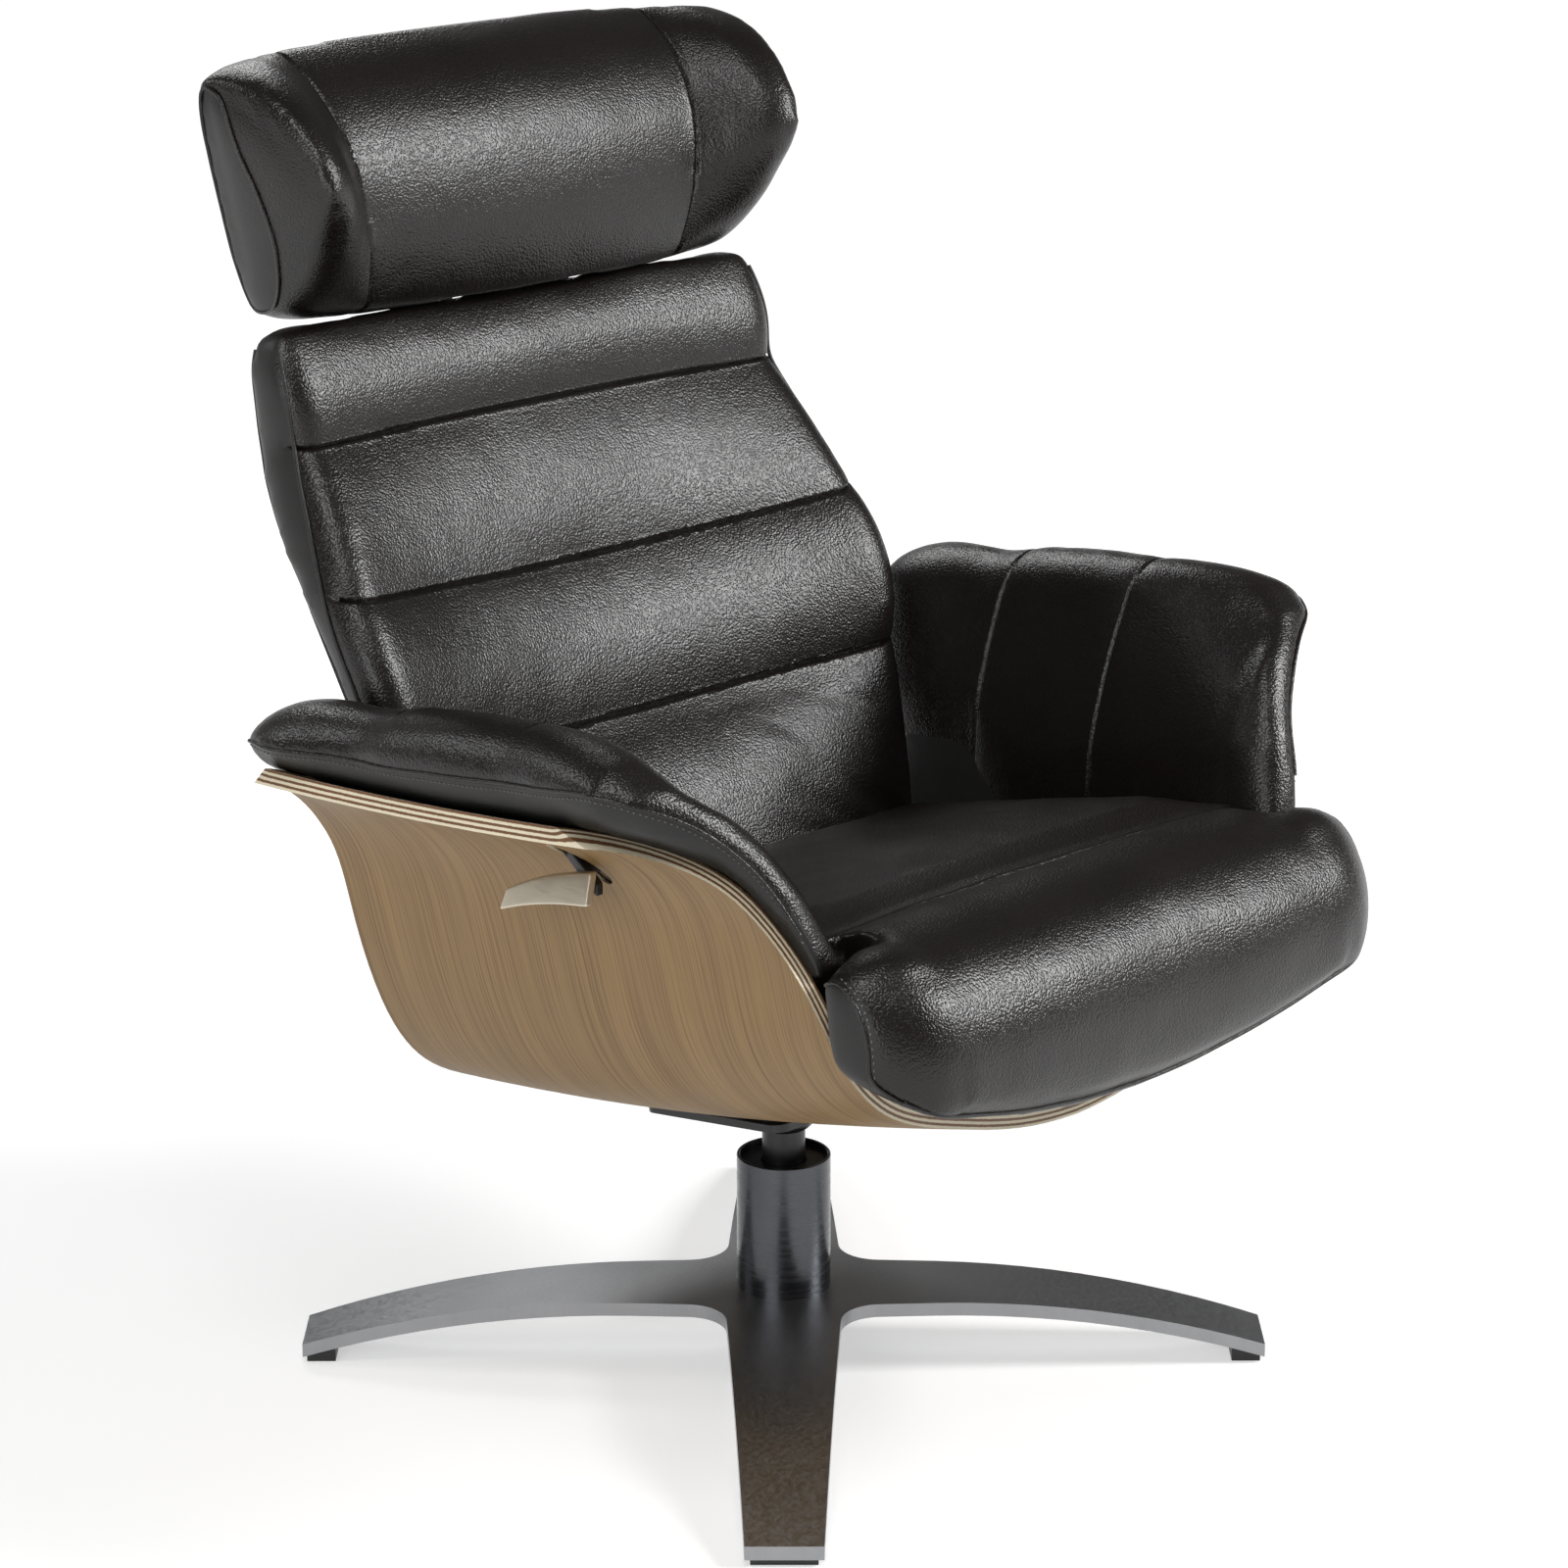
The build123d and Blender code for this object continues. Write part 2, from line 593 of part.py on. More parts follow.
with BuildPart() as seat_cushion:
    for run, crown, half in seat_sections:
        with BuildSketch(Plane(origin=on_seat(0, run, 0), x_dir=(1, 0, 0), z_dir=-seat_plane.y_dir)):
            with BuildLine():
                base, edge = half - 14, half - 15
                for side in (-1, 1):
                    ThreePointArc((side * base, -seat_depth), (side * half, -seat_depth * 0.55),
                                  (side * (half - 1), -14))
                    ThreePointArc((side * (half - 1), -14), (side * (half - 5), -5), (side * edge, -1))
                ThreePointArc((edge, -1), (0, crown), (-edge, -1))
                Line((-base, -seat_depth), (base, -seat_depth))
            make_face()
    loft()
    split(bisect_by=Plane(origin=(0, seat_tilt_run - seat_rear_gap, seat_tilt_height), x_dir=(1, 0, 0),
                          z_dir=(0, 1, -back_front_lean)), keep=Keep.BOTTOM)
    seam_top, seam_low = seat_profile([(-seam_run, -1), (-seam_run, -seat_depth)])
    both_sides = [(-x, *rest) for x, *rest in roll_sections[:0:-1]] + roll_sections
    for x, top, shoulder, front, below, welt, under in both_sides:
        with BuildSketch(Plane.YZ.offset(x)):
            with BuildLine():
                ThreePointArc(seam_top, top, shoulder)
                ThreePointArc(shoulder, front, below)
                Polyline(below, welt, under, seam_low, seam_top)
            make_face()
    loft()
    for side in (-1, 1):
        for x, heel, top, shoulder, front, welt, under in wing_sections:
            with BuildSketch(Plane.YZ.offset(side * x)):
                with BuildLine():
                    ThreePointArc(heel, top, shoulder)
                    ThreePointArc(shoulder, front, welt)
                    Polyline(welt, under, heel)
                make_face()
        loft()
seat_cushion.part.label = "seat_cushion"
export_step(seat_cushion.part, "parts/seat_cushion.step")

# ---------------------------------------------------------------- back
def back_row(z, swell=0):
    """Half width and the four Y values of the back at height z, swollen to the front."""
    heights = sorted(back_stations)
    low = max([h for h in heights[:-1] if h <= z])
    high = heights[heights.index(low) + 1]
    share = (z - low) / (high - low)
    row = [a + (b - a) * share for a, b in zip(back_stations[low], back_stations[high])]
    return row[0] + swell / 3, row[1] - swell, row[2] - swell, row[3], row[4]


def back_layer(front_depth, rear_depth, trim):
    """Layer of the back between two depths from its rear face, narrower by trim on each side."""
    with BuildPart() as layer:
        for z in back_stations:
            half, side_front, mid_front, side_rear, mid_rear = back_row(z)
            bend = (half ** 2 + (mid_rear - side_rear) ** 2) / (mid_rear - side_rear) / 2
            half -= trim
            side_rear = mid_rear - bend + (bend ** 2 - half ** 2) ** 0.5
            with BuildSketch(Plane.XY.offset(z)):
                with BuildLine():
                    ThreePointArc((-half, side_rear - front_depth), (0, mid_rear - front_depth),
                                  (half, side_rear - front_depth))
                    ThreePointArc((-half, side_rear - rear_depth), (0, mid_rear - rear_depth),
                                  (half, side_rear - rear_depth))
                    Line((-half, side_rear - front_depth), (-half, side_rear - rear_depth))
                    Line((half, side_rear - front_depth), (half, side_rear - rear_depth))
                make_face()
        loft()
    return layer.part


cushion_rear = cover_thickness + board_thickness + 2 * fit_gap
back_bottom, back_top = min(back_stations), max(back_stations)
panel_ends = [back_bottom, *back_seams, back_top]
post_plane = Plane(origin=(0, 303, back_top), x_dir=(1, 0, 0)).rotated((-head_post_lean, 0, 0))
guide_depth = 145               # length of the guides for the headrest's posts
guide_radius = head_post_radius + 2.3
board_bottom, board_top = 400 + raised, 735 + raised

bracket_outer = cheek_inner - 1
bracket_sheet = 4
board_face = cover_thickness + fit_gap + board_thickness + running_gap
board_front = [(back_row(z)[4] - board_face, z) for z in (410 + raised, 470 + raised, 520 + raised)]
web_front = [(y - 12, z) for y, z in board_front]
flange_front = [(y - 24, z) for y, z in board_front]


def bracket_side(growth):
    """Outline of the recline bracket's flange in side view, as points (Y, Z), grown to the front."""
    return [(rod_end[0] - 12, rod_end[1]), (rod_end[0] + 12, rod_end[1]),
            (pivot_y + pivot_lug_radius, pivot_z),
            *[(y + growth, z) for y, z in board_front], *[(y - growth, z) for y, z in flange_front[::-1]],
            (pivot_y - pivot_lug_radius - growth, pivot_z)]


def screw_planes():
    """Planes on the bracket's web, facing forward, at the middle of its two slopes."""
    planes = []
    for (y0, z0), (y1, z1) in zip(web_front[:-1], web_front[1:]):
        middle = (0, (y0 + y1) / 2, (z0 + z1) / 2)
        planes.append(Plane(origin=middle, x_dir=(1, 0, 0), z_dir=(0, z0 - z1, y1 - y0)))
    return planes


behind_cushion = back_layer(cushion_rear, -40, -30)
with BuildPart() as back_cushion:
    for low, high in zip(panel_ends[:-1], panel_ends[1:]):
        for z, swell in ((low, 0), ((low + high) / 2, panel_swell), (high, 0)):
            half, side_front, mid_front, side_rear, mid_rear = back_row(z, swell)
            side_rear -= cushion_rear - 5
            mid_rear -= cushion_rear - 5
            roll = min(edge_roll, (side_rear - side_front) * 0.8)
            with BuildSketch(Plane.XY.offset(z)):
                with BuildLine():
                    ThreePointArc((-half, side_rear), (0, mid_rear), (half, side_rear))
                    for side in (-1, 1):
                        Line((side * half, side_rear), (side * half, side_front + roll))
                        ThreePointArc((side * half, side_front + roll),
                                      (side * (half - roll * 0.3), side_front + roll * 0.3),
                                      (side * (half - roll), side_front))
                    ThreePointArc((roll - half, side_front), (0, mid_front), (half - roll, side_front))
                make_face()
        loft()
    add(behind_cushion, mode=Mode.SUBTRACT)
    with BuildSketch(post_plane.offset(-guide_depth - 1)):
        with Locations((-head_post_x, 0), (head_post_x, 0)):
            Circle(guide_radius + running_gap)
    extrude(amount=guide_depth + 30, mode=Mode.SUBTRACT)
    with BuildSketch(Plane.YZ):
        with BuildLine():
            Polyline(*bracket_side(3), close=True)
        make_face()
    extrude(amount=bracket_outer + 1, both=True, mode=Mode.SUBTRACT)
back_cushion.part.label = "back_cushion"
export_step(back_cushion.part, "parts/back_cushion.step")

board = back_layer(cushion_rear - fit_gap, cover_thickness + fit_gap, 3)
with BuildPart() as back_board:
    add(board)
    split(bisect_by=Plane.XY.offset(board_bottom), keep=Keep.TOP)
    split(bisect_by=Plane.XY.offset(board_top), keep=Keep.BOTTOM)
    for plane in screw_planes():
        with Locations(plane):
            with GridLocations(60, 1, 2, 1):
                Hole(2 + fit_gap, depth=13)
back_board.part.label = "back_board"
export_step(back_board.part, "parts/back_board.step")

cover = back_layer(cover_thickness, 0, 0)
with BuildPart() as back_cover:
    add(cover)
    with BuildSketch(Plane.XZ.offset(-pivot_y)):
        with Locations((0, back_bottom)):
            RectangleRounded(2 * (cheek_outer + 4), 2 * (board_bottom - 5 - back_bottom), 12)
    extrude(amount=80, both=True, mode=Mode.SUBTRACT)
back_cover.part.label = "back_cover"
export_step(back_cover.part, "parts/back_cover.step")

for name, side in (("left", 1), ("right", -1)):
    with BuildPart() as post_guide:
        with BuildSketch(post_plane.offset(-guide_depth)):
            with Locations((side * head_post_x, 0)):
                Circle(guide_radius)
                Circle(head_post_radius + running_gap, mode=Mode.SUBTRACT)
        extrude(amount=guide_depth + 1)
    post_guide.part.label = f"{name}_post_guide"
    export_step(post_guide.part, f"parts/{name}_post_guide.step")

with BuildPart() as headrest_yoke:
    with BuildSketch(post_plane.offset(-head_post_depth)):
        with Locations((-head_post_x, 0), (head_post_x, 0)):
            Circle(head_post_radius)
    extrude(amount=head_post_depth + head_pin_height)
    with BuildSketch(Plane.YZ.offset(-head_post_x)):
        with Locations((post_plane.from_local_coords(Vector(0, 0, head_pin_height)).Y,
                        post_plane.from_local_coords(Vector(0, 0, head_pin_height)).Z)):
            Circle(head_post_radius)
    extrude(amount=2 * head_post_x)
headrest_yoke.part.label = "headrest_yoke"
export_step(headrest_yoke.part, "parts/headrest_yoke.step")

with BuildPart() as plate_spacers:
    with BuildSketch(plate_plane.offset(plate_thickness)):
        with GridLocations(plate_bolt_spacing_x, plate_bolt_spacing_y, 2, 2):
            Circle(spacer_radius)
            Circle(plate_bolt_radius + fit_gap, mode=Mode.SUBTRACT)
    extrude(amount=plate_drop + ply)
    add(shell_layer(-fit_gap, ply + spacer_radius, front_gap=0), mode=Mode.SUBTRACT)
plate_spacers.part.label = "plate_spacers"
export_step(plate_spacers.part, "parts/plate_spacers.step")

# ---------------------------------------------------------------- headrest
# Each section stands on a plane across the headrest, leaning outward towards the top: distance of
# the plane from the middle, its lean, then the outline from the rear bottom, up the rear, over the
# top and down the front, as (Y, Z).
head_bottom = back_top + head_gap


def head_outline(points):
    """Side-view points of the headrest, whose heights are over its foot."""
    return [(y, head_bottom + z) for y, z in points]


head_middle = head_bottom + 95
middle_outline = head_outline([(346, 0), (362, 170), (359, 186), (350, 192),
                               (286, 145), (262, 73), (274, 5), (310, -3)])
seam_outline = head_outline([(345, 0), (360, 168), (358, 182), (348, 189),
                             (288, 143), (265, 72), (277, 8), (310, -3)])
wing_outline = head_outline([(343, 0), (346, 164), (343, 175), (330, 179),
                             (247, 151), (214, 105), (265, 21), (302, 1)])
panel_outline = head_outline([(342, -1), (341, 155), (338, 169), (330, 173),
                              (303, 128), (284, 72), (301, 9), (318, -2)])
head_seam_x, head_wing_x, head_round_x, head_panel_x = 170, 234, 243, 248


def between(a, b, share):
    """Outline a share of the way from outline a to outline b."""
    return [(ya + (yb - ya) * share, za + (zb - za) * share) for (ya, za), (yb, zb) in zip(a, b)]


def head_loft(sections, ruled):
    """Loft through outlines given as (distance from the middle, lean, outline)."""
    with BuildPart() as piece:
        for x, lean, outline in sections:
            stretch = (1 + lean ** 2) ** 0.5
            flat = [(y, (z - head_middle) * stretch) for y, z in outline]
            rear_low, rear_high, crown, top, brow, nose, chin, low = flat
            throat = ((nose[0] + chin[0]) / 2 - 4, (nose[1] + chin[1]) / 2 - 3)
            with BuildSketch(Plane(origin=(x, 0, head_middle), x_dir=(0, 1, 0), z_dir=(1, 0, -lean))):
                with BuildLine():
                    Line(rear_low, rear_high)
                    ThreePointArc(rear_high, crown, top)
                    ThreePointArc(top, brow, nose)
                    ThreePointArc(nose, throat, chin)
                    ThreePointArc(chin, low, rear_low)
                make_face()
        loft(ruled=ruled)
    return piece.part


def head_side(side):
    """Sections of the wing on one side, from the seam outward, and of its rounded end."""
    wing = [(side * head_seam_x, side * .12, seam_outline),
            (side * (head_seam_x + head_wing_x) / 2, side * .17, between(seam_outline, wing_outline, 0.58)),
            (side * head_wing_x, side * .2, wing_outline)]
    end = [wing[-1],
           (side * head_round_x, side * .22, between(wing_outline, panel_outline, 0.4)),
           (side * head_panel_x, side * .23, panel_outline)]
    return head_loft(wing, False), head_loft(end, True)


pin_point = post_plane.from_local_coords(Vector(0, 0, head_pin_height))
pocket_front, pocket_rear, pocket_top = 284, 337, head_bottom + 50
core_radius = head_post_radius + 3
core_front, core_rear, core_top, core_half_width = 330, 336, head_bottom + 135, 110
core_bottom = pin_point.Z + 4

head_middle_piece = head_loft([(-head_seam_x, -.12, seam_outline), (0, 0, middle_outline),
                               (head_seam_x, .12, seam_outline)], False)
head_pieces = [head_middle_piece, *head_side(-1), *head_side(1)]
with BuildPart() as headrest_cushion:
    add(head_pieces)
    with BuildSketch(Plane.XY.offset(head_bottom - 20)):
        with Locations((0, (pocket_front + pocket_rear) / 2)):
            Rectangle(2 * head_post_x + 34, pocket_rear - pocket_front)
    extrude(amount=pocket_top - head_bottom + 20, mode=Mode.SUBTRACT)
    with BuildSketch(Plane.XY.offset(core_bottom - 1)):
        with Locations((0, (core_front + core_rear) / 2)):
            Rectangle(2 * core_half_width + 1, core_rear - core_front + 2 * fit_gap)
    extrude(amount=core_top - core_bottom + 2, mode=Mode.SUBTRACT)
headrest_cushion.part.label = "headrest_cushion"
export_step(headrest_cushion.part, "parts/headrest_cushion.step")

with BuildPart() as headrest_core:
    with BuildSketch(Plane.XY.offset(core_bottom)):
        with Locations((0, (core_front + core_rear) / 2)):
            Rectangle(2 * core_half_width, core_rear - core_front)
    extrude(amount=core_top - core_bottom)
    for side in (-1, 1):
        with BuildSketch(Plane.YZ.offset(side * (head_post_x - 14))):
            with BuildLine():
                Polyline((pin_point.Y, pin_point.Z + core_radius),
                         (core_rear, pin_point.Z + core_radius + 10),
                         (core_rear, core_bottom), (pin_point.Y, pin_point.Z - core_radius), close=True)
            make_face()
            with Locations((pin_point.Y, pin_point.Z)):
                Circle(core_radius)
        extrude(amount=-side * 24)
    with BuildSketch(Plane.YZ):
        with Locations((pin_point.Y, pin_point.Z)):
            Circle(head_post_radius + running_gap)
    extrude(amount=head_post_x, both=True, mode=Mode.SUBTRACT)
headrest_core.part.label = "headrest_core"
export_step(headrest_core.part, "parts/headrest_core.step")

# ---------------------------------------------------------------- recline bracket and gas spring
behind_bracket = back_layer(cushion_rear + 0.2, -40, -30)
with BuildPart() as back_bracket:
    for side in (-1, 1):
        with BuildSketch(Plane.YZ.offset(side * bracket_outer)):
            with BuildLine():
                Polyline(*bracket_side(0), close=True)
            make_face()
            with Locations(rod_end):
                Circle(12)
        extrude(amount=-side * bracket_sheet)
    with BuildSketch(Plane.YZ):
        with BuildLine():
            Polyline(*board_front, *web_front[::-1], close=True)
        make_face()
    extrude(amount=bracket_outer - 1, both=True)
    with BuildSketch(Plane.YZ):
        with Locations((pivot_y, pivot_z)):
            Circle(pivot_pin_radius + running_gap)
        with Locations(rod_end):
            Circle(pivot_pin_radius + fit_gap)
    extrude(amount=bracket_outer + 1, both=True, mode=Mode.SUBTRACT)
    add(behind_bracket.split(Plane.XY.offset(board_bottom), keep=Keep.TOP), mode=Mode.SUBTRACT)
    for plane in screw_planes():
        with Locations(plane):
            with GridLocations(60, 1, 2, 1):
                Hole(2 + fit_gap, depth=12)
back_bracket.part.label = "back_bracket"
export_step(back_bracket.part, "parts/back_bracket.step")

with BuildPart() as bracket_screws:
    for plane in screw_planes():
        with BuildSketch(plane.offset(fit_gap)):
            with Locations((-30, 0), (30, 0)):
                Circle(4)
        extrude(amount=2.4)
        with BuildSketch(plane.offset(fit_gap)):
            with Locations((-30, 0), (30, 0)):
                Circle(2)
        extrude(amount=-9)
bracket_screws.part.label = "bracket_screws"
export_step(bracket_screws.part, "parts/bracket_screws.step")

with BuildPart() as recline_axle:
    with BuildSketch(Plane.YZ):
        with Locations((pivot_y, pivot_z)):
            Circle(pivot_pin_radius)
    extrude(amount=cheek_outer + 1, both=True)
    for side in (-1, 1):
        with BuildSketch(Plane.YZ.offset(side * (cheek_outer + fit_gap))):
            with Locations((pivot_y, pivot_z)):
                Circle(8)
        extrude(amount=side * 3)
recline_axle.part.label = "recline_axle"
export_step(recline_axle.part, "parts/recline_axle.step")

with BuildPart() as rod_pin:
    with BuildSketch(Plane.YZ):
        with Locations(rod_end):
            Circle(pivot_pin_radius)
    extrude(amount=bracket_outer - 0.5, both=True)
rod_pin.part.label = "rod_pin"
export_step(rod_pin.part, "parts/rod_pin.step")

with BuildPart() as spring_pin:
    with BuildSketch(Plane.YZ):
        with Locations((spring_front_y, spring_front_z)):
            Circle(pivot_pin_radius)
    extrude(amount=cheek_outer, both=True)
spring_pin.part.label = "spring_pin"
export_step(spring_pin.part, "parts/spring_pin.step")

spring_start = spring_front_y + spring_eye_radius
with BuildPart() as gas_spring_cylinder:
    with BuildSketch(Plane.XZ.offset(-spring_start)):
        with Locations((0, spring_front_z)):
            Circle(spring_radius)
    extrude(amount=-spring_length)
    with BuildSketch(Plane.YZ):
        with Locations((spring_front_y, spring_front_z)):
            Circle(spring_eye_radius)
        with Locations((spring_front_y + spring_eye_radius / 2, spring_front_z)):
            Rectangle(spring_eye_radius + 4, 8)
    extrude(amount=6, both=True)
    with BuildSketch(Plane.XZ.offset(-spring_start - spring_wall)):
        with Locations((0, spring_front_z)):
            Circle(spring_radius - spring_wall)
    extrude(amount=2 * spring_wall - spring_length, mode=Mode.SUBTRACT)
    with BuildSketch(Plane.XZ.offset(-spring_start - 20)):
        with Locations((0, spring_front_z)):
            Circle(rod_radius + running_gap)
    extrude(amount=-spring_length, mode=Mode.SUBTRACT)
    with BuildSketch(Plane.YZ):
        with Locations((spring_front_y, spring_front_z)):
            Circle(pivot_pin_radius + fit_gap)
    extrude(amount=7, both=True, mode=Mode.SUBTRACT)
gas_spring_cylinder.part.label = "gas_spring_cylinder"
export_step(gas_spring_cylinder.part, "parts/gas_spring_cylinder.step")

with BuildPart() as gas_spring_rod:
    with BuildSketch(Plane.XZ.offset(-rod_end[0] + spring_eye_radius - 2)):
        with Locations((0, spring_front_z)):
            Circle(rod_radius)
    extrude(amount=rod_length)
    with BuildSketch(Plane.XZ.offset(rod_length - rod_end[0])):
        with Locations((0, spring_front_z)):
            Circle(spring_radius - spring_wall - running_gap)
    extrude(amount=-10)
    with BuildSketch(Plane.YZ):
        with Locations((rod_end[0], spring_front_z)):
            Circle(spring_eye_radius)
            Circle(pivot_pin_radius + spring_eye_play, mode=Mode.SUBTRACT)
    extrude(amount=6, both=True)
gas_spring_rod.part.label = "gas_spring_rod"
export_step(gas_spring_rod.part, "parts/gas_spring_rod.step")

# ---------------------------------------------------------------- arm pads
# Sections across the left arm, front to rear at each Y: the welt along the outside, the crown, the
# inner edge of the top, the middle of the inner face and its foot on the seat, as (X, Z).
pad_drawing = {
    184: ((362, 530), (326, 544), (292, 528), (272, 470), (243, 362)),
    170: ((369, 531), (330, 552), (288, 532), (270, 470), (243, 362)),
    114: ((368, 534), (334, 564), (288, 541), (268, 470), (245, 370)),
    44: ((364, 539), (336, 569), (289, 547), (262, 470), (249, 384)),
    -20: ((364, 547), (343, 580), (288, 557), (260, 480), (246, 400)),
    -85: ((360, 555), (344, 579), (288, 559), (259, 490), (244, 414)),
    -140: ((367, 563), (350, 587), (292, 563), (258, 496), (242, 427)),
    -189: ((371, 570), (350, 585), (296, 558), (256, 500), (238, 438)),
    -214: ((354, 564), (334, 571), (288, 549), (250, 498), (232, 443)),
    -231: ((319, 548), (301, 552), (268, 535), (241, 492), (226, 447)),
    -249: ((291, 523), (278, 526), (255, 514), (235, 484), (221, 451)),
    -266: ((273, 493), (263, 497), (247, 491), (232, 476), (219, 455)),
    -280: ((264, 468), (256, 471), (244, 469), (232, 465), (222, 458)),
}
pad_sections = {y: [(x * across, z + raised) for x, z in row] for y, row in pad_drawing.items()}
# Where the boxing meets the plywood's front edge, ahead of the shell's full height
foot_drawing = {-214: (336, 538), -231: (300, 518), -249: (280, 489), -266: (270, 470), -280: (263, 462)}
boxing_foot = {y: (x * across, z + raised) for y, (x, z) in foot_drawing.items()}
tuck_front, tuck_rear = -85, 44
pad_bend = -189                 # ahead of this the pad runs down to its tip


def along_section(y, depth, z):
    """Point of the shell's section at y and height z."""
    points = shell_section(y, depth)
    for low, high in zip(points[:-1], points[1:]):
        if low.Y <= z <= high.Y:
            return low + (high - low) * ((z - low.Y) / (high.Y - low.Y))
    return points[-1]


def pad_loft(side, rear, front, ruled=False):
    """Length of an arm pad between two Y values."""
    with BuildPart() as piece:
        for y in [y for y in pad_sections if front <= y <= rear]:
            welt, crown, brow, face, foot = pad_sections[y]
            rim = shell_section(y, ply + running_gap)[-1]
            boxing = boxing_foot.get(y, (rim.X, rim.Y + 1))
            bottom = on_seat(0, (y - seat_tilt_run) / seat_plane.y_dir.Y, pad_lift).Z
            low = along_section(y, 4, bottom)
            wall = along_section(y, 4, (bottom + boxing[1]) / 2)
            low_x = min(low.X, boxing[0])
            wall_x = min(wall.X, boxing[0] - 1)
            with BuildSketch(Plane.XZ.offset(-y)):
                with BuildLine():
                    ring = [(side * x, z) for x, z in (
                        (foot[0], bottom), face, brow, crown, welt, boxing,
                        (wall_x, (bottom + boxing[1]) / 2), (low_x, bottom))]
                    ThreePointArc(*ring[0:3])
                    ThreePointArc(*ring[2:5])
                    Line(*ring[4:6])
                    ThreePointArc(*ring[5:8])
                    Line(ring[7], ring[0])
                make_face()
        loft(ruled=ruled)
    return piece.part


lever_room = (100, 92, 74)      # hollow in the right pad around the lever's plate
for name, side in (("left", 1), ("right", -1)):
    lengths = [pad_loft(side, 184, tuck_rear), pad_loft(side, tuck_rear, tuck_front),
               pad_loft(side, tuck_front, pad_bend), pad_loft(side, pad_bend, -280, ruled=True)]
    with BuildPart() as arm_pad:
        add(lengths)
        add(shell_keepout, mode=Mode.SUBTRACT)
        if side < 0:
            with Locations((-lever_plate_x - 44, lever_pivot_y - 16, lever_pivot_z + 19)):
                Box(*lever_room, mode=Mode.SUBTRACT)
    arm_pad.part.label = f"{name}_arm_pad"
    export_step(arm_pad.part, f"parts/{name}_arm_pad.step")

# ---------------------------------------------------------------- release lever
stem_at = (lever_pivot_y + lever_reach * cos(radians(lever_angle)),
           lever_pivot_z + lever_reach * sin(radians(lever_angle)))
paddle_centre = (lever_pivot_y - paddle_forward, lever_pivot_z + paddle_rise)

with BuildPart() as lever:
    with BuildSketch(Plane.YZ.offset(-lever_plate_x)):
        with Locations((lever_pivot_y, lever_pivot_z)):
            Circle(lever_hub_radius)
        with BuildLine():
            Line((lever_pivot_y, lever_pivot_z), stem_at)
        trace(line_width=2 * lever_stem_radius + 2)
        with Locations(stem_at):
            Circle(lever_stem_radius + 1)
        with Locations((lever_pivot_y, lever_pivot_z)):
            Circle(lever_pin_radius + running_gap, mode=Mode.SUBTRACT)
    extrude(amount=lever_plate)
    with BuildSketch(Plane.YZ.offset(-lever_plate_x + 1)):
        with Locations(stem_at):
            Circle(lever_stem_radius)
    extrude(amount=lever_plate_x - paddle_x - 3)
    with BuildSketch(Plane.YZ.offset(-paddle_x)):
        with Locations(Location((*paddle_centre, 0), (0, 0, -paddle_turn))):
            RectangleRounded(paddle_length, paddle_height, paddle_height * 3 / 7)
    extrude(amount=-paddle_thickness)
    fillet(lever.faces().sort_by(Axis.X)[0].edges(), radius=paddle_thickness * 0.4)
    with BuildSketch(Plane.YZ.offset(-paddle_x)):
        with BuildLine():
            Line(stem_at, (stem_at[0] + 2, paddle_centre[1]))
        trace(line_width=12)
    extrude(amount=-paddle_thickness / 2)
lever.part.label = "lever"
export_step(lever.part, "parts/lever.step")

bracket_depth, bracket_length, bracket_height = 20, 30, 26
with BuildPart() as lever_bracket:
    with Locations((-lever_plate_x - bracket_depth / 2 - 1, lever_pivot_y, lever_pivot_z + 3)):
        Box(bracket_depth, bracket_length, bracket_height)
    add(shell_keepout, mode=Mode.SUBTRACT)
    with BuildSketch(Plane.YZ.offset(-lever_plate_x)):
        with Locations((lever_pivot_y, lever_pivot_z)):
            Circle(lever_pin_radius + fit_gap)
    extrude(amount=-2 * bracket_depth, mode=Mode.SUBTRACT)
lever_bracket.part.label = "lever_bracket"
export_step(lever_bracket.part, "parts/lever_bracket.step")

pin_outer = lever_plate_x + 1 + 3
with BuildPart() as lever_pin:
    with BuildSketch(Plane.YZ.offset(-pin_outer)):
        with Locations((lever_pivot_y, lever_pivot_z)):
            Circle(lever_pin_radius)
    extrude(amount=3 + 1 + lever_plate + running_gap)
    with BuildSketch(Plane.YZ.offset(-lever_plate_x + lever_plate + running_gap)):
        with Locations((lever_pivot_y, lever_pivot_z)):
            Circle(lever_pin_radius + 2)
    extrude(amount=1.5)
lever_pin.part.label = "lever_pin"
export_step(lever_pin.part, "parts/lever_pin.step")
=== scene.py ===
"""Swivel recliner on a four-armed star base: black pebbled leather cushions in a bent oak plywood shell.

The CAD model is the frame. Rigid nodes keep their shape and get their finish here. The padded nodes
and the plywood shell are replaced by softer or more detailed pieces that lie where they do.
Metres. The sitter faces -Y, +Z is up, and the sitter's left is +X.
"""

import itertools
import math

import bmesh
import bpy
import numpy as np
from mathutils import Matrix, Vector
from mathutils.bvhtree import BVHTree


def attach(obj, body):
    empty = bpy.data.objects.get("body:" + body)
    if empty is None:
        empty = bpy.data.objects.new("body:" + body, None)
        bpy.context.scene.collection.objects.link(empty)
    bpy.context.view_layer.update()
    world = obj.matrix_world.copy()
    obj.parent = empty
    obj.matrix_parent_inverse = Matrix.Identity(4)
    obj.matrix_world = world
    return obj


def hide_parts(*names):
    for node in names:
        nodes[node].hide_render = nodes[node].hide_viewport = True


bl_info = {
    "name": "Swivel Recliner",
    "version": (1, 0, 0),
    "blender": (4, 5, 0),
    "location": "View3D > Sidebar > Recliner",
    "description": "Builds the leather, plywood and metal looks of a star base swivel recliner",
    "category": "Object",
}

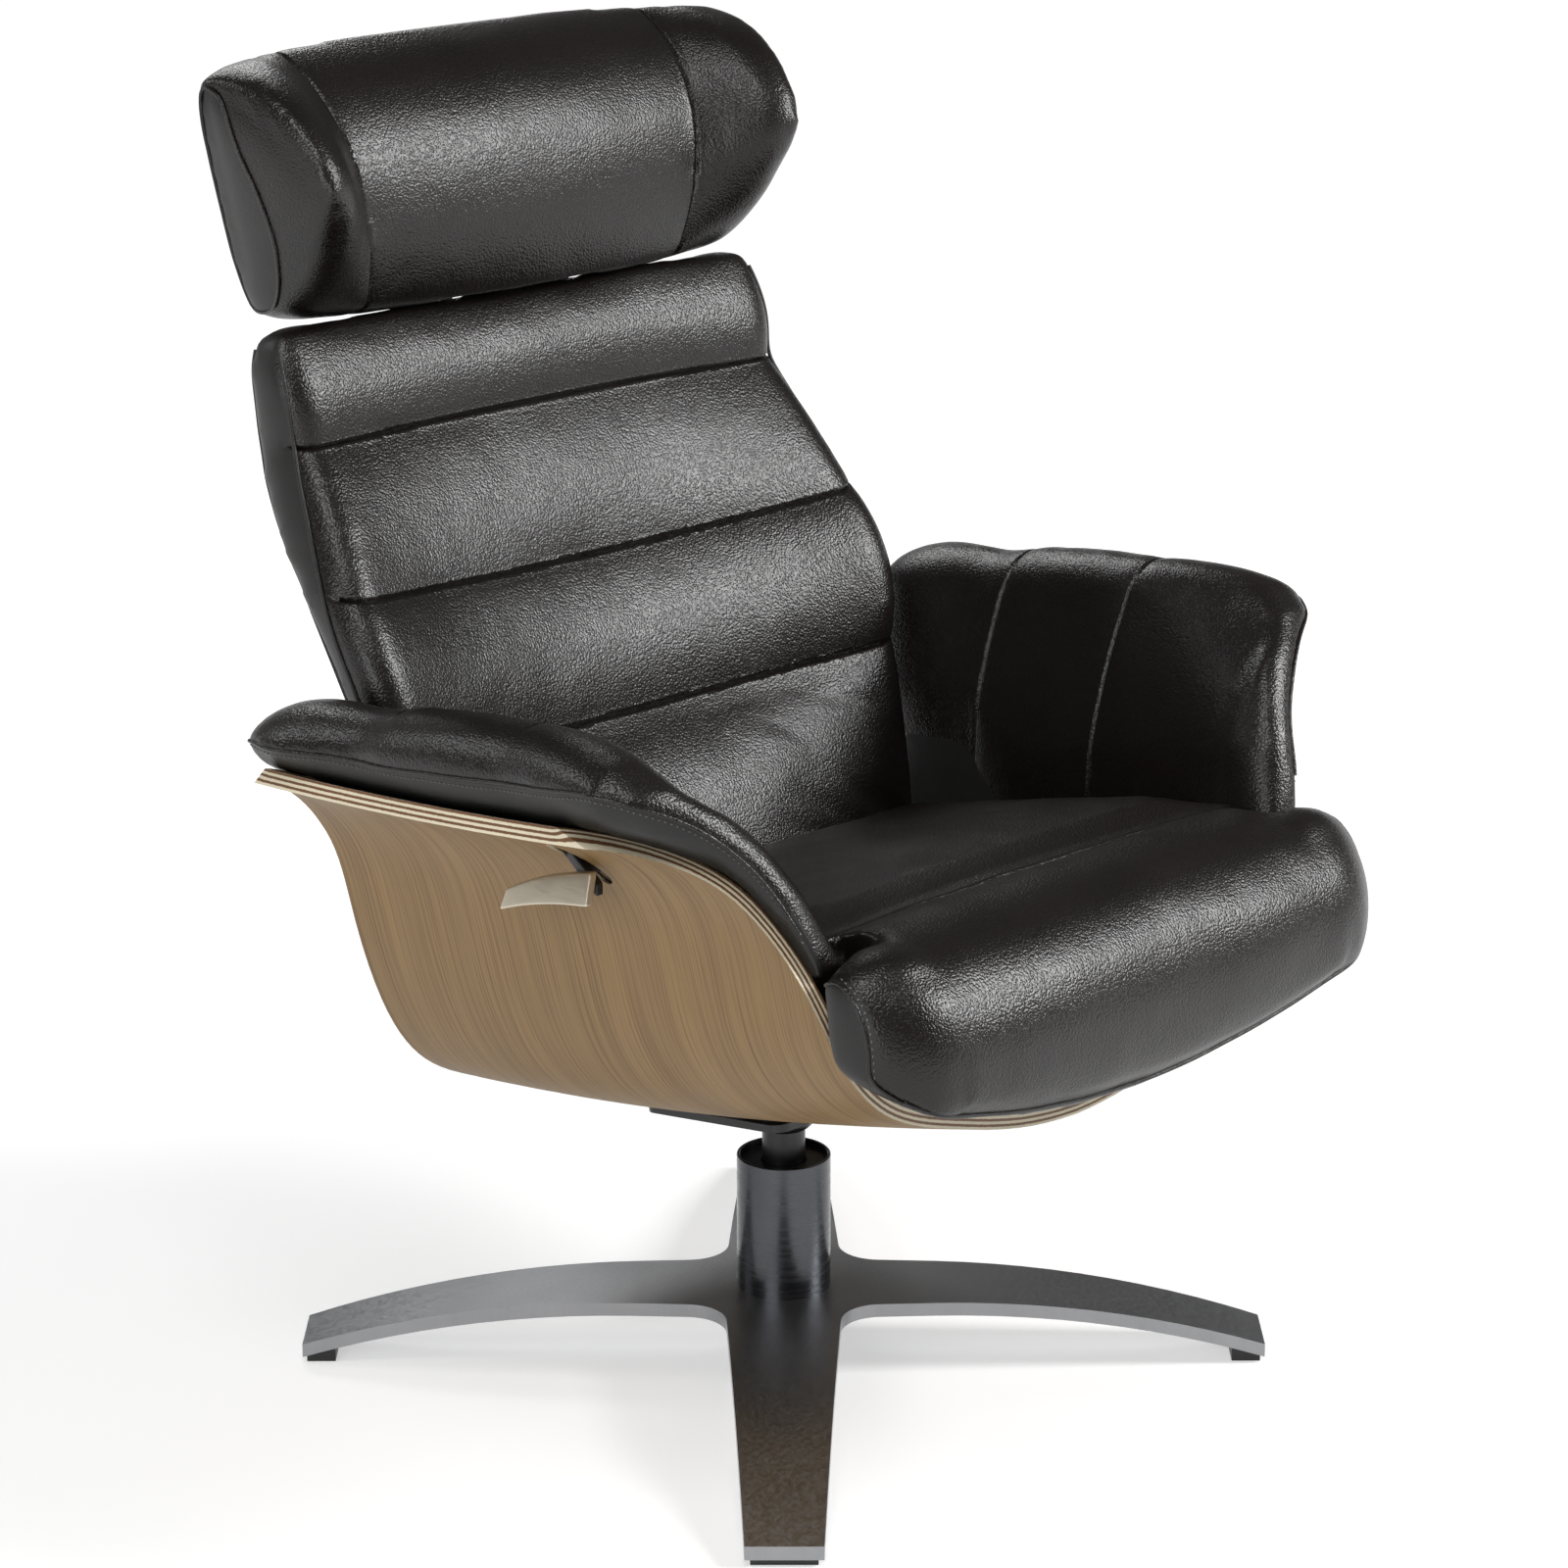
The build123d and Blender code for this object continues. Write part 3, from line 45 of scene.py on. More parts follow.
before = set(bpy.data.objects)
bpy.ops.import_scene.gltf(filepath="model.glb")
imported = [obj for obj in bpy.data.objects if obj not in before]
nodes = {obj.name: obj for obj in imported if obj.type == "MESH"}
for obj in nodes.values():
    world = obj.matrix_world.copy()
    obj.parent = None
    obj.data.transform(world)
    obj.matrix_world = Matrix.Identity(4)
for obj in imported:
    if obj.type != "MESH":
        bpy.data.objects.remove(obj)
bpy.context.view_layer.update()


def linear(code):
    """Linear RGB of an sRGB hex colour."""
    parts = [int(code[i:i + 2], 16) / 255 for i in (1, 3, 5)]
    return tuple(c / 12.92 if c <= 0.04045 else ((c + 0.055) / 1.055) ** 2.4 for c in parts)


def colour_property(name, code, description):
    """Colour that a user may change, from its hex code."""
    return bpy.props.FloatVectorProperty(
        name=name, description=description, subtype="COLOR", size=3, min=0, max=1, default=linear(code))


def length_property(name, value, description):
    """Length that a user may change, in metres."""
    return bpy.props.FloatProperty(
        name=name, description=description, subtype="DISTANCE", unit="LENGTH", min=0, precision=4, default=value)


class ReclinerColours(bpy.types.PropertyGroup):
    """Colours of the finishes."""

    leather: colour_property("Leather", "#130e0c", "Aniline-dyed pebbled cowhide, espresso black")
    boxing: colour_property("Boxing", "#161514", "Smooth split leather of the side panels, charcoal")
    thread: colour_property("Thread", "#6a665f", "Top stitching")
    oak: colour_property("Oak", "#997b50", "Oiled oak veneer")
    oak_grain: colour_property("Oak grain", "#65492b", "Dark pores of the oak veneer")
    ply_light: colour_property("Ply", "#eadfc4", "Plies with their grain along the edge")
    ply_dark: colour_property("End ply", "#6f4a29", "Plies with their grain across the edge")
    graphite: colour_property("Base", "#98999b", "Sand-cast base, brushed and lacquered")
    gunmetal: colour_property("Sleeve", "#55565a", "Turned steel sleeve, black nickel")
    nickel: colour_property("Lever", "#d2cab8", "Satin nickel lever")


class ReclinerSizes(bpy.types.PropertyGroup):
    """Sizes of the sewn and wooden details."""

    welt: length_property("Welt", 0.0032, "Thickness of the piping along the edges")
    pebble: length_property("Pebble", 0.0016, "Size of one pebble of the leather's grain")
    stitch: length_property("Stitch", 0.0046, "Length of one stitch and its gap")
    seam: length_property("Seam", 0.0022, "Half width of a seam's groove")
    weave: length_property("Cloth mesh", 0.005, "Edge length of the soft pieces' mesh before it is filled")


# ---------------------------------------------------------------- materials
def add_node(tree, kind, inputs=(), **settings):
    """A new node with its settings.

    Its inputs, in order or by name or number, are values or what feeds them: a socket, or a node, which
    feeds its first output.
    """
    node = tree.nodes.new(kind)
    for key, value in settings.items():
        setattr(node, key, value)
    for key, value in inputs.items() if isinstance(inputs, dict) else enumerate(inputs):
        source = value.outputs[0] if isinstance(value, bpy.types.Node) else value
        if isinstance(source, bpy.types.NodeSocket):
            tree.links.new(source, node.inputs[key])
        else:
            node.inputs[key].default_value = source
    return node


def shade(colour, factor=1):
    """RGBA of a colour, darker or lighter."""
    return (*(min(1, c * factor) for c in colour), 1)


# Each of these makes the nodes of a finish and gives back the inputs of its Principled shader. A range node
# takes its value, the start and end it comes from, and the start and end it goes to.
def tumbled_leather(tree, coords, colour, pebble, roughness, relief):
    """Tumbled leather: rounded pebbles of uneven size, soft gloss on their tops, and painted shade that darkens
    the creases between them.
    """
    stray = (0.0007, 0.0007, 0.0007)
    drift = add_node(tree, "ShaderNodeTexNoise", {"Vector": coords, "Scale": 90, "Detail": 2})
    place = add_node(tree, "ShaderNodeVectorMath", (drift.outputs["Color"], stray), operation="MULTIPLY")
    bent = add_node(tree, "ShaderNodeVectorMath", (coords, place), operation="ADD")
    pebbles = add_node(tree, "ShaderNodeTexVoronoi", {"Vector": bent, "Scale": 1 / pebble, "Randomness": 0.9},
                       feature="SMOOTH_F1")
    pores = add_node(tree, "ShaderNodeTexNoise", {"Vector": coords, "Scale": 0.45 / pebble, "Detail": 3})
    domes = add_node(tree, "ShaderNodeMapRange", (pebbles, 0.05, 0.75, 1, 0))
    pits = add_node(tree, "ShaderNodeMapRange", (pores, 0.3, 0.7, 0, 0.08))
    height = add_node(tree, "ShaderNodeMath", (domes, pits), operation="ADD")
    bump = add_node(tree, "ShaderNodeBump", {"Strength": relief, "Distance": 0.0005, "Height": height})
    patches = add_node(tree, "ShaderNodeTexNoise", {"Vector": coords, "Scale": 14, "Detail": 3})
    pale = add_node(tree, "ShaderNodeMapRange", (patches, 0.2, 0.8, 0, 1))
    tone = add_node(tree, "ShaderNodeMix", {0: pale, 6: shade(colour, 0.8), 7: shade(colour, 1.25)},
                    data_type="RGBA")
    # Painted shade: the creases between the pebbles are darkened towards 0.45 of the colour.
    crease_shade = add_node(tree, "ShaderNodeMapRange", (pebbles, 0.35, 0.8, 0, 0.7))
    shaded_creases = add_node(tree, "ShaderNodeMix", {0: crease_shade, 6: tone.outputs[2], 7: shade(colour, 0.45)},
                    data_type="RGBA")
    gloss = add_node(tree, "ShaderNodeMapRange", (patches, 0.2, 0.8, roughness - 0.02, roughness + 0.03))
    return {"Base Color": shaded_creases.outputs[2], "Roughness": gloss, "Normal": bump, "IOR": 1.45}


def oiled_veneer(tree, coords, colour, grain):
    """Straight-grained oak veneer, oiled: long fine pores that run round the bend, broad tone bands."""
    along = add_node(tree, "ShaderNodeMapping", {"Vector": coords, "Scale": (1.4, 190, 1.4)})
    bands = add_node(tree, "ShaderNodeMapping", {"Vector": coords, "Scale": (0.8, 22, 0.8)})
    pores = add_node(tree, "ShaderNodeTexNoise", {"Vector": along, "Scale": 3.2, "Detail": 4, "Roughness": 0.62})
    tones = add_node(tree, "ShaderNodeTexNoise", {"Vector": bands, "Scale": 2, "Detail": 3, "Distortion": 0.1})
    pale = add_node(tree, "ShaderNodeMapRange", (tones, 0.3, 0.7, 0, 1))
    base = add_node(tree, "ShaderNodeMix", {0: pale, 6: shade(colour, 0.88), 7: shade(colour, 1.1)},
                    data_type="RGBA")
    dark = add_node(tree, "ShaderNodeMapRange", (pores, 0.46, 0.68, 0, 0.7))
    lined = add_node(tree, "ShaderNodeMix", {0: dark, 6: base.outputs[2], 7: shade(grain)}, data_type="RGBA")
    depth = add_node(tree, "ShaderNodeMapRange", (pores, 0.45, 0.7, 1, 0))
    bump = add_node(tree, "ShaderNodeBump", {"Strength": 0.25, "Distance": 0.0004, "Height": depth})
    gloss = add_node(tree, "ShaderNodeMapRange", (pores, 0, 1, 0.42, 0.6))
    return {"Base Color": lined.outputs[2], "Roughness": gloss, "Normal": bump}


def sawn_plies(tree, coords, light, dark, plies):
    """Sawn edge: cream plies with brown end-grain plies between, from the thickness in the UV map."""
    layer = add_node(tree, "ShaderNodeUVMap", uv_map="thickness")
    across = add_node(tree, "ShaderNodeSeparateXYZ", (layer,))
    turn = add_node(tree, "ShaderNodeMath", (across, plies * math.pi), operation="MULTIPLY")
    wave = add_node(tree, "ShaderNodeMath", (turn,), operation="SINE")
    fibres = add_node(tree, "ShaderNodeTexNoise", {"Vector": coords, "Scale": 420, "Detail": 3})
    fray = add_node(tree, "ShaderNodeMapRange", (fibres, 0.3, 0.7, -0.25, 0.25))
    stripe = add_node(tree, "ShaderNodeMath", (wave, fray), operation="ADD")
    pale = add_node(tree, "ShaderNodeMapRange", (stripe, -0.35, 0.25, 0, 1))
    tone = add_node(tree, "ShaderNodeMix", {0: pale, 6: shade(dark), 7: shade(light)}, data_type="RGBA")
    bump = add_node(tree, "ShaderNodeBump", {"Strength": 0.2, "Distance": 0.0003, "Height": fibres})
    return {"Base Color": tone.outputs[2], "Roughness": 0.5, "Normal": bump}


def worked_metal(tree, coords, colour, roughness, stretch, relief):
    """Worked metal: fine marks of brushing or turning, long along one axis, in its gloss and relief."""
    drawn = add_node(tree, "ShaderNodeMapping", {"Vector": coords, "Scale": stretch})
    marks = add_node(tree, "ShaderNodeTexNoise", {"Vector": drawn, "Scale": 1, "Detail": 4})
    cloud = add_node(tree, "ShaderNodeTexNoise", {"Vector": coords, "Scale": 18, "Detail": 2})
    tone = add_node(tree, "ShaderNodeMix", {0: cloud, 6: shade(colour, 0.9), 7: shade(colour, 1.1)},
                    data_type="RGBA")
    bump = add_node(tree, "ShaderNodeBump", {"Strength": relief, "Distance": 0.0002, "Height": marks})
    gloss = add_node(tree, "ShaderNodeMapRange", (marks, 0.3, 0.7, roughness - 0.06, roughness + 0.08))
    return {"Base Color": tone.outputs[2], "Metallic": 1, "Roughness": gloss, "Normal": bump}


def gritty(tree, coords, colour, roughness, grit, relief):
    """Moulded, powder-coated or sawn surface: one colour, broken by the fine grit of how it was made."""
    speck = add_node(tree, "ShaderNodeTexNoise", {"Vector": coords, "Scale": 1 / grit, "Detail": 3})
    tone = add_node(tree, "ShaderNodeMix", {0: speck, 6: shade(colour, 0.8), 7: shade(colour, 1.2)},
                    data_type="RGBA")
    bump = add_node(tree, "ShaderNodeBump", {"Strength": relief, "Distance": 0.0003, "Height": speck})
    gloss = add_node(tree, "ShaderNodeMapRange", (speck, 0.3, 0.7, roughness - 0.05, roughness + 0.05))
    return {"Base Color": tone.outputs[2], "Roughness": gloss, "Normal": bump}


def seen_by_eye(tree, strength):
    """The strength for rays from the eye, also by way of a mirror or glass, and 0 for the object's light."""
    rays = add_node(tree, "ShaderNodeLightPath").outputs
    direct = add_node(tree, "ShaderNodeMath", (rays["Is Camera Ray"], rays["Is Glossy Ray"]),
                      operation="MAXIMUM")
    either = add_node(tree, "ShaderNodeMath", (direct, rays["Is Transmission Ray"]), operation="MAXIMUM")
    return add_node(tree, "ShaderNodeMath", (either, strength), operation="MULTIPLY")


def studio_paper(tree, coords):
    """Paper floor of the studio: it grows paler with the distance from the object, for the eye alone."""
    reach = add_node(tree, "ShaderNodeVectorMath", (coords,), operation="LENGTH").outputs["Value"]
    glow = add_node(tree, "ShaderNodeMapRange", (reach, 0.6, 3.2, 0.5, 0.95))
    return {"Base Color": shade(linear("#cfcfcf")), "Roughness": 0.9, "Specular IOR Level": 0.1,
            "Emission Color": (1, 1, 1, 1), "Emission Strength": seen_by_eye(tree, glow)}


# The finishes by name, from the node tree, its Object coordinates, and the user's colours and sizes.
FINISHES = {
    # Pebbled cowhide: espresso black, a soft gloss that breaks up on the grain.
    "pebbled_leather": lambda t, p, c, s: tumbled_leather(t, p, c.leather, s.pebble, 0.31, 0.6),
    # Split leather of the boxings: finer grain and duller than the hide.
    "smooth_leather": lambda t, p, c, s: tumbled_leather(t, p, c.boxing, s.pebble / 2, 0.44, 0.25),
    # Oak veneer, cut straight and oiled: a dull sheen, with dark pores along the grain.
    "oiled_oak_veneer": lambda t, p, c, s: oiled_veneer(t, p, c.oak, c.oak_grain),
    # Edge of the bent shell, sawn and sanded: six stripes that the eye counts as plies.
    "sawn_plywood": lambda t, p, c, s: sawn_plies(t, p, c.ply_light, c.ply_dark, 6),
    # Plywood board under the seat, sanded and left raw: dull, with a coarse grit.
    "plain_plywood": lambda t, p, c, s: gritty(t, p, c.oak, 0.6, 0.004, 0.2),
    # Cast aluminium, linished and clear-lacquered: satin, with faint lines.
    "brushed_graphite": lambda t, p, c, s: worked_metal(t, p, c.graphite, 0.36, (300, 300, 20), 0.15),
    # Steel tube turned on a lathe, in black nickel: dark and glossy, with fine rings round it.
    "turned_gunmetal": lambda t, p, c, s: worked_metal(t, p, c.gunmetal, 0.24, (12, 12, 500), 0.04),
    # Die-cast zinc, brushed along the lever and plated in satin nickel: warm and pale.
    "satin_nickel": lambda t, p, c, s: worked_metal(t, p, c.nickel, 0.42, (500, 60, 500), 0.12),
    # Machined steel, bright zinc-plated: grey, with no direction in its marks.
    "zinc_plated_steel": lambda t, p, c, s: worked_metal(t, p, linear("#a5a6a8"), 0.35, (200, 200, 200), 0.1),
    # Steel sheet and rod, powder-coated: black, with the fine grit of the baked powder.
    "black_powder_coat": lambda t, p, c, s: gritty(t, p, linear("#141415"), 0.35, 0.0012, 0.3),
    # Moulded nylon: black and half dull.
    "black_nylon": lambda t, p, c, s: gritty(t, p, linear("#161617"), 0.45, 0.0015, 0.2),
    # Moulded rubber: black and dull.
    "black_rubber": lambda t, p, c, s: gritty(t, p, linear("#111111"), 0.75, 0.002, 0.3),
    # Bonded nylon thread: grey against the hide, with a twist of 0.4 mm.
    "bonded_thread": lambda t, p, c, s: gritty(t, p, c.thread, 0.55, 0.0004, 0.5),
    "white_paper": lambda t, p, c, s: studio_paper(t, p),
}


def material(name):
    """The finish of that name, made when it is first asked for."""
    if name not in bpy.data.materials:
        made = bpy.data.materials.new(name)
        made.use_nodes = True
        tree = made.node_tree
        tree.nodes.clear()
        coords = add_node(tree, "ShaderNodeTexCoord").outputs["Object"]
        scene = bpy.context.scene
        inputs = FINISHES[name](tree, coords, scene.recliner_colours, scene.recliner_sizes)
        shader = add_node(tree, "ShaderNodeBsdfPrincipled", inputs)
        add_node(tree, "ShaderNodeOutputMaterial", {"Surface": shader})
    return bpy.data.materials[name]


def finish_nodes(finish, names):
    """Gives CAD nodes a finish."""
    for name in names:
        nodes[name].data.materials.clear()
        nodes[name].data.materials.append(material(finish))


# ---------------------------------------------------------------- mesh work
def only(piece):
    """Makes one object the selected and active one."""
    bpy.ops.object.select_all(action="DESELECT")
    piece.select_set(True)
    bpy.context.view_layer.objects.active = piece


def new_object(name, data):
    """A new object in the scene."""
    made = bpy.data.objects.new(name, data)
    bpy.context.scene.collection.objects.link(made)
    return made


def edit(piece, *steps):
    """Runs mesh operators on the whole of a piece; each step is an operator and its settings."""
    only(piece)
    bpy.ops.object.mode_set(mode="EDIT")
    for operator, settings in steps:
        bpy.ops.mesh.select_all(action="SELECT")
        operator(**settings)
    bpy.ops.object.mode_set(mode="OBJECT")


def copy_of(name, *sources):
    """A piece with a merged copy of the meshes of CAD nodes."""
    parts = [new_object(name, nodes[source].data.copy()) for source in sources]
    only(parts[0])
    for part in parts[1:]:
        part.select_set(True)
    if len(parts) > 1:
        bpy.ops.object.join()
    piece = bpy.context.active_object
    piece.data.materials.clear()
    bpy.ops.mesh.customdata_custom_splitnormals_clear()
    edit(piece, (bpy.ops.mesh.remove_doubles, {"threshold": 1e-5}))
    return piece


def modify(piece, kind, **settings):
    """Adds a modifier and applies it."""
    only(piece)
    modifier = piece.modifiers.new(kind.lower(), kind)
    for key, value in settings.items():
        setattr(modifier, key, value)
    bpy.ops.object.modifier_apply(modifier=modifier.name)


def points_of(piece):
    """The piece's vertices as an array."""
    found = np.empty(len(piece.data.vertices) * 3)
    piece.data.vertices.foreach_get("co", found)
    return found.reshape(-1, 3)


def normals_of(piece):
    """The piece's vertex normals as an array."""
    found = np.empty(len(piece.data.vertices) * 3, dtype=np.float32)
    piece.data.vertex_normals.foreach_get("vector", found)
    return found.reshape(-1, 3)


def move_points(piece, points):
    """Puts the piece's vertices at new places."""
    piece.data.vertices.foreach_set("co", np.asarray(points, dtype=np.float32).ravel())
    piece.data.update()


def weigh(piece, name, weights):
    """Gives a piece a vertex group with these weights, without the faintest."""
    group = piece.vertex_groups.new(name=name)
    for index in np.flatnonzero(weights > 0.02):
        group.add([int(index)], float(weights[index]), "REPLACE")


def fill(piece, pressure, limit, held):
    """Fills a soft piece with air as cloth, held where held is near 1, and no point moves past the limit."""
    rest = points_of(piece)
    weigh(piece, "sewn", held)
    only(piece)
    modifier = piece.modifiers.new("cloth", "CLOTH")
    cloth = modifier.settings
    cloth.quality = 4
    cloth.use_pressure = True
    cloth.uniform_pressure_force = pressure
    cloth.effector_weights.gravity = 0
    cloth.vertex_group_mass = "sewn"
    cloth.bending_stiffness = 0.8
    modifier.collision_settings.use_collision = False
    frames = 20  # the cover is taut by then
    modifier.point_cache.frame_start, modifier.point_cache.frame_end = 1, frames
    for number in range(1, frames + 1):
        bpy.context.scene.frame_set(number)
    bpy.ops.object.modifier_apply(modifier=modifier.name)
    bpy.context.scene.frame_set(1)
    step = points_of(piece) - rest
    length = np.linalg.norm(step, axis=1, keepdims=True)
    move_points(piece, rest + step * np.minimum(1, limit / np.maximum(length, 1e-9)))
    piece.vertex_groups.clear()


def cut_seam(piece, origin, normal, width, depth, keep=None):
    """Sews a groove into a piece where a plane crosses it: three cuts, and the middle one is pulled in."""
    normal = Vector(normal).normalized()
    edit(piece, *((bpy.ops.mesh.bisect, {"plane_co": Vector(origin) + normal * shift, "plane_no": normal})
                  for shift in (-width, 0, width)))
    points, normals = points_of(piece), normals_of(piece)
    away = np.abs((points - np.array(origin)) @ np.array(normal))
    groove = np.clip(1 - away / width, 0, 1)
    slope = 0.3 * np.exp(-(away / (3 * width)) ** 2)  # the padding round the seam sinks with it
    pull = depth * groove + depth * slope
    if keep is not None:
        pull *= keep(points)
    move_points(piece, points - normals * pull[:, None])


def smooth(piece, angle=40):
    """Smooth shading with edges sharper than the angle left crisp."""
    only(piece)
    bpy.ops.object.shade_smooth_by_angle(angle=math.radians(angle))


def complete(piece, slot, body, sources, *finishes, padded=0.85):
    """Materials, body and the CAD nodes that the piece stands for. The slot is not used."""
    for finish in finishes:
        piece.data.materials.append(material(finish))
    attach(piece, body)
    if sources:
        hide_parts(*sources)


def curve_through(points, count):
    """Even points along a smooth curve through the given ones."""
    curve = bpy.data.curves.new("guide", "CURVE")
    spline = curve.splines.new("BEZIER")
    curve.dimensions = "3D"
    spline.bezier_points.add(len(points) - 1)
    for knot, point in zip(spline.bezier_points, points):
        knot.co = point
        knot.handle_left_type = knot.handle_right_type = "AUTO"
    spline.resolution_u = 24
    guide = new_object("guide", curve)
    bpy.context.view_layer.update()
    mesh = bpy.data.meshes.new_from_object(guide)
    fine = np.array([v.co for v in mesh.vertices])
    bpy.data.objects.remove(guide)
    bpy.data.meshes.remove(mesh)
    steps = np.r_[0, np.cumsum(np.linalg.norm(np.diff(fine, axis=0), axis=1))]
    at = np.linspace(0, steps[-1], count)
    return np.stack([np.interp(at, steps, fine[:, i]) for i in range(3)], axis=1)


def on_surface(piece, points, lift):
    """Points carried to the nearest place on a piece, lifted off it."""
    tree = BVHTree.FromObject(piece, bpy.context.evaluated_depsgraph_get())
    found = [tree.find_nearest(Vector(p)) for p in points]
    return np.array([place + normal * lift for place, normal, *_ in found])


def mirrored(line, side):
    """A line of the left half, on the side that is 1 for left and -1 for right."""
    return [(side * x, y, z) for x, y, z in line]


def piping(name, piece, points, finish, slot, body):
    """A welt: a leather-covered cord sewn along an edge of a piece, and sunk into it by a third."""
    radius, sunk = bpy.context.scene.recliner_sizes.welt / 2, 0.35
    line = on_surface(piece, curve_through(points, max(12, 8 * len(points))), radius * (1 - 2 * sunk))
    for _ in range(3):  # evens out what the surface throws about
        line[1:-1] = (line[:-2] + 2 * line[1:-1] + line[2:]) / 4
    curve = bpy.data.curves.new(name, "CURVE")
    curve.dimensions = "3D"
    spline = curve.splines.new("NURBS")
    spline.points.add(len(line) - 1)
    for knot, point in zip(spline.points, line):
        knot.co = (*point, 1)
    spline.order_u = 3
    spline.use_endpoint_u = True
    spline.resolution_u = 3
    curve.bevel_depth = radius
    curve.bevel_resolution = 3
    curve.use_fill_caps = True
    only(new_object(name, curve))
    bpy.ops.object.convert(target="MESH")
    cord = bpy.context.active_object
    smooth(cord, 60)
    complete(cord, slot, body, [], finish, padded=None)


def stitching(name, piece, points, finish, slot, body):
    """A row of stitches on a piece: one short thread loop, copied along the line."""
    pitch, thread, lift = bpy.context.scene.recliner_sizes.stitch, 0.0006, 0.0002
    length = np.linalg.norm(np.diff(curve_through(points, 200), axis=0), axis=1).sum()
    path = on_surface(piece, curve_through(points, max(3, int(length / pitch) * 2)), lift)
    bpy.ops.object.select_all(action="DESELECT")
    bpy.ops.mesh.primitive_uv_sphere_add(segments=6, ring_count=4, radius=1, location=(0, 0, 0))
    stitch = bpy.context.active_object
    shape = points_of(stitch)
    faces = [tuple(p.vertices) for p in stitch.data.polygons]
    bpy.data.objects.remove(stitch)
    places, rows = [], []
    for start, end in zip(path[:-1:2], path[1::2]):
        middle, half = (start + end) / 2, (end - start) / 2
        reach = np.linalg.norm(half)
        if reach < 1e-6:
            continue
        ahead = half / reach
        side = np.cross(ahead, (0.3, 0.2, 0.93))  # any direction that no row runs along
        side /= np.linalg.norm(side)
        over = np.cross(side, ahead)
        rows += [tuple(i + len(places) * len(shape) for i in f) for f in faces]
        places.append(middle + shape @ np.array([ahead * reach * 0.9, side * thread, over * thread]))
    mesh = bpy.data.meshes.new(name)
    mesh.from_pydata(np.concatenate(places).tolist(), [], rows)
    row = new_object(name, mesh)
    smooth(row, 60)
    complete(row, slot, body, [], finish, padded=None)


def soft_piece(name, rounds, *sources):
    """A padded piece in the place of CAD nodes: their shape with an even mesh, its edges softened."""
    piece = copy_of(name, *sources)
    modify(piece, "REMESH", mode="VOXEL", voxel_size=bpy.context.scene.recliner_sizes.weave)
    modify(piece, "SMOOTH", factor=0.5, iterations=rounds)
    return piece


def soften(piece, rounds, weights):
    """Evens out a piece where the weights are near 1."""
    weigh(piece, "soft", weights)
    modify(piece, "SMOOTH", factor=0.5, iterations=rounds, vertex_group="soft")
    piece.vertex_groups.clear()


def within(points, outline):
    """Which points of a plane lie inside a closed outline."""
    inside = np.zeros(len(points), dtype=bool)
    for (a, b), (c, d) in zip(outline, [*outline[1:], outline[0]]):
        crosses = (b > points[:, 1]) != (d > points[:, 1])
        inside ^= crosses & (points[:, 0] < (c - a) * (points[:, 1] - b) / (d - b + 1e-12) + a)
    return inside


def near(distance, reach=0.008):
    """1 at a seam, and down to 0 past twice the reach."""
    return np.clip(2 - np.abs(distance) / reach, 0, 1)


def beyond(value, edge, soft):
    """0 below the edge and 1 above it, over a soft width."""
    return np.clip((value - edge) / soft + 0.5, 0, 1)


def below(value, edge, soft):
    """1 below the edge and 0 above it, over a soft width."""
    return 1 - beyond(value, edge, soft)


def ruffle(piece, height, size):
    """Slack of a leather cover: low, broad dents."""
    clouds = bpy.data.textures.new("slack", "CLOUDS")
    clouds.noise_scale, clouds.noise_depth = size, 2
    modify(piece, "DISPLACE", texture=clouds, texture_coords="LOCAL", strength=height * 2, mid_level=0.5)


def regions_of(piece, angle):
    """Faces of a piece in groups that meet at edges sharper than the angle, the largest group first."""
    mesh = bmesh.new()
    mesh.from_mesh(piece.data)
    mesh.faces.ensure_lookup_table()
    waiting, groups = set(range(len(mesh.faces))), []
    while waiting:
        group, reached = [], [waiting.pop()]
        while reached:
            face = mesh.faces[reached.pop()]
            group.append(face.index)
            for edge in face.edges:
                if len(edge.link_faces) == 2 and edge.calc_face_angle() < math.radians(angle):
                    for other in edge.link_faces:
                        if other.index in waiting:
                            waiting.remove(other.index)
                            reached.append(other.index)
        groups.append((sum(mesh.faces[i].calc_area() for i in group), group))
    mesh.free()
    return [group for _, group in sorted(groups, reverse=True)]


def tree_of(piece, faces):
    """A search tree of some faces of a piece."""
    places = [v.co for v in piece.data.vertices]
    return BVHTree.FromPolygons(places, [piece.data.polygons[i].vertices[:] for i in faces])


def divide_faces(piece, chosen, cuts):
    """Cuts the chosen faces of a piece into smaller ones."""
    only(piece)
    for kind in (piece.data.polygons, piece.data.edges, piece.data.vertices):
        kind.foreach_set("select", np.zeros(len(kind), dtype=bool))
    for index in chosen:
        piece.data.polygons[index].select = True
    bpy.ops.object.mode_set(mode="EDIT")
    bpy.context.tool_settings.mesh_select_mode = (False, False, True)
    bpy.ops.mesh.subdivide(number_cuts=cuts)
    bpy.context.tool_settings.mesh_select_mode = (True, False, False)
    bpy.ops.object.mode_set(mode="OBJECT")


def head_x(x, lean, z):
    """Distance from the middle, at height z, of a plane across the headrest that leans outward."""
    return x + (z - HEAD_MIDDLE) * lean


def welt_at(welt, where, axis, wanted):
    """The wanted coordinate of a welt where its coordinate on the axis, which falls along it, is given."""
    return np.interp(where, [p[axis] for p in welt[::-1]], [p[wanted] for p in welt[::-1]])


